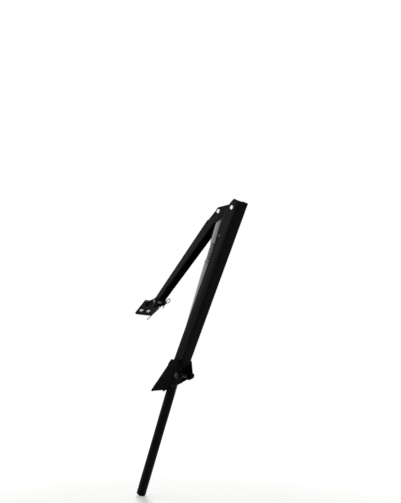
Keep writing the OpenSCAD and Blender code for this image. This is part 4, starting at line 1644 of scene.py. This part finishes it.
@dataclass
class Studio:
    """The pale floor, the soft lamps and the camera."""

    floor_height: float = -0.2186
    floor_reach: float = 14.0
    floor_colour: Triple = (0.84, 0.84, 0.83)
    floor_roughness: float = 0.9
    floor_specular: float = 0.1
    floor_glow: tuple[float, float] = (0.31, 0.76)
    floor_fade: tuple[float, float] = (0.3, 1.6)
    lens: float = 34.25
    sensor: float = 36.0
    nearest: float = 0.01
    eye: Triple = (0.8054, -0.5223, -0.0314)
    ahead: Triple = (-0.7645, 0.578, 0.286)
    sky: float = 0.3
    middle: Triple = (0.07, 0.0, 0.05)
    lamps: tuple[Lamp, ...] = (
        Lamp("key", (-1.2, -1.0, 0.75), 1.4, 5.0),
        Lamp("top", (-0.3, 0.5, 1.6), 0.4, 15.0),
    )

    @staticmethod
    def aimed(name: str, data: bpy.types.ID, place: Triple, ahead: Vector) -> bpy.types.Object:
        """Puts a lamp or a camera into the scene and points it.

        Args:
            name: Its name.
            data: The lamp or the camera.
            place: Where it goes.
            ahead: The direction that it looks in.

        Returns:
            The object.
        """
        piece = Shop.put(name, data)
        piece.location = place
        piece.rotation_mode = "QUATERNION"
        piece.rotation_quaternion = ahead.to_track_quat("-Z", "Y")
        return piece

    @staticmethod
    def seen(tree: NodeTree) -> NodeSocket:
        """Adds a mask for what the camera sees directly, in reflections and through glass.

        Args:
            tree: Where the nodes go.

        Returns:
            The mask's socket.
        """
        rays = tree.nodes.new("ShaderNodeLightPath").outputs
        mask = rays["Is Camera Ray"]
        for ray in ("Is Glossy Ray", "Is Transmission Ray"):
            mask = Wiring.math(tree, "MAXIMUM", mask, rays[ray])
        return mask

    def floor_paint(self) -> Material:
        """Makes the floor's paint, which fades to white away from the object.

        Returns:
            The new material.
        """
        material = bpy.data.materials.new("pale_floor")
        material.use_nodes = True
        tree = material.node_tree
        place = tree.nodes.new("ShaderNodeTexCoord")
        away = Wiring.node(tree, "ShaderNodeVectorMath", {0: place.outputs["Object"]}, operation="LENGTH")
        labels = ("Value", "From Min", "From Max", "To Min", "To Max")
        values = (away.outputs["Value"], *self.floor_fade, *self.floor_glow)
        fade = Wiring.node(tree, "ShaderNodeMapRange", dict(zip(labels, values))).outputs["Result"]
        Wiring.feed(tree, tree.nodes["Principled BSDF"], {
            "Base Color": (*self.floor_colour, 1.0), "Roughness": self.floor_roughness,
            "Specular IOR Level": self.floor_specular, "Emission Color": WHITE,
            "Emission Strength": Wiring.math(tree, "MULTIPLY", fade, self.seen(tree)),
        })
        return material

    def floor(self) -> None:
        """Lays the floor."""
        made = bmesh.new()
        bmesh.ops.create_grid(made, x_segments=1, y_segments=1, size=self.floor_reach)
        mesh = Shop.taken(made)
        mesh.name = "pale_floor"
        mesh.transform(Matrix.Translation((0.0, 0.0, self.floor_height)))
        mesh.materials.append(self.floor_paint())
        floor = Shop.put("pale_floor", mesh)

    def world(self) -> None:
        """Lights the room softly and shows a white background to the camera and to reflections."""
        world = bpy.data.worlds.new("soft_room")
        bpy.context.scene.world = world
        world.use_nodes = True
        tree = world.node_tree
        tree.nodes.clear()
        soft, plain = (
            Wiring.node(tree, "ShaderNodeBackground", {"Color": WHITE, "Strength": strength}).outputs[0]
            for strength in (self.sky, 1.0)
        )
        mix = Wiring.node(tree, "ShaderNodeMixShader", {0: self.seen(tree), 1: soft, 2: plain})
        Wiring.node(tree, "ShaderNodeOutputWorld", {"Surface": mix.outputs[0]})

    def camera(self) -> None:
        """Sets the camera up at the photograph's angle."""
        data = bpy.data.cameras.new("camera")
        data.lens = self.lens
        data.sensor_width = self.sensor
        data.clip_start = self.nearest
        bpy.context.scene.camera = self.aimed("camera", data, self.eye, Vector(self.ahead))

    def build(self) -> None:
        """Builds the studio."""
        self.floor()
        self.world()
        for lamp in self.lamps:
            lamp.hang(self.middle)
        self.camera()
        bpy.context.scene.view_settings.view_transform = "Standard"


def main() -> None:
    """Builds the object and the studio in order."""
    logging.basicConfig(level=logging.INFO, format="%(name)s: %(message)s")
    for part in (SillEnd(), BaseArm(), WaxCylinder(), PushStrut(), TopArm(), WindowEnd(), Studio()):
        LOG.info("building %s", type(part).__name__)
        part.build()
    LOG.info("%d pieces", Dresser.count)


if __name__ == "__main__":
    main()
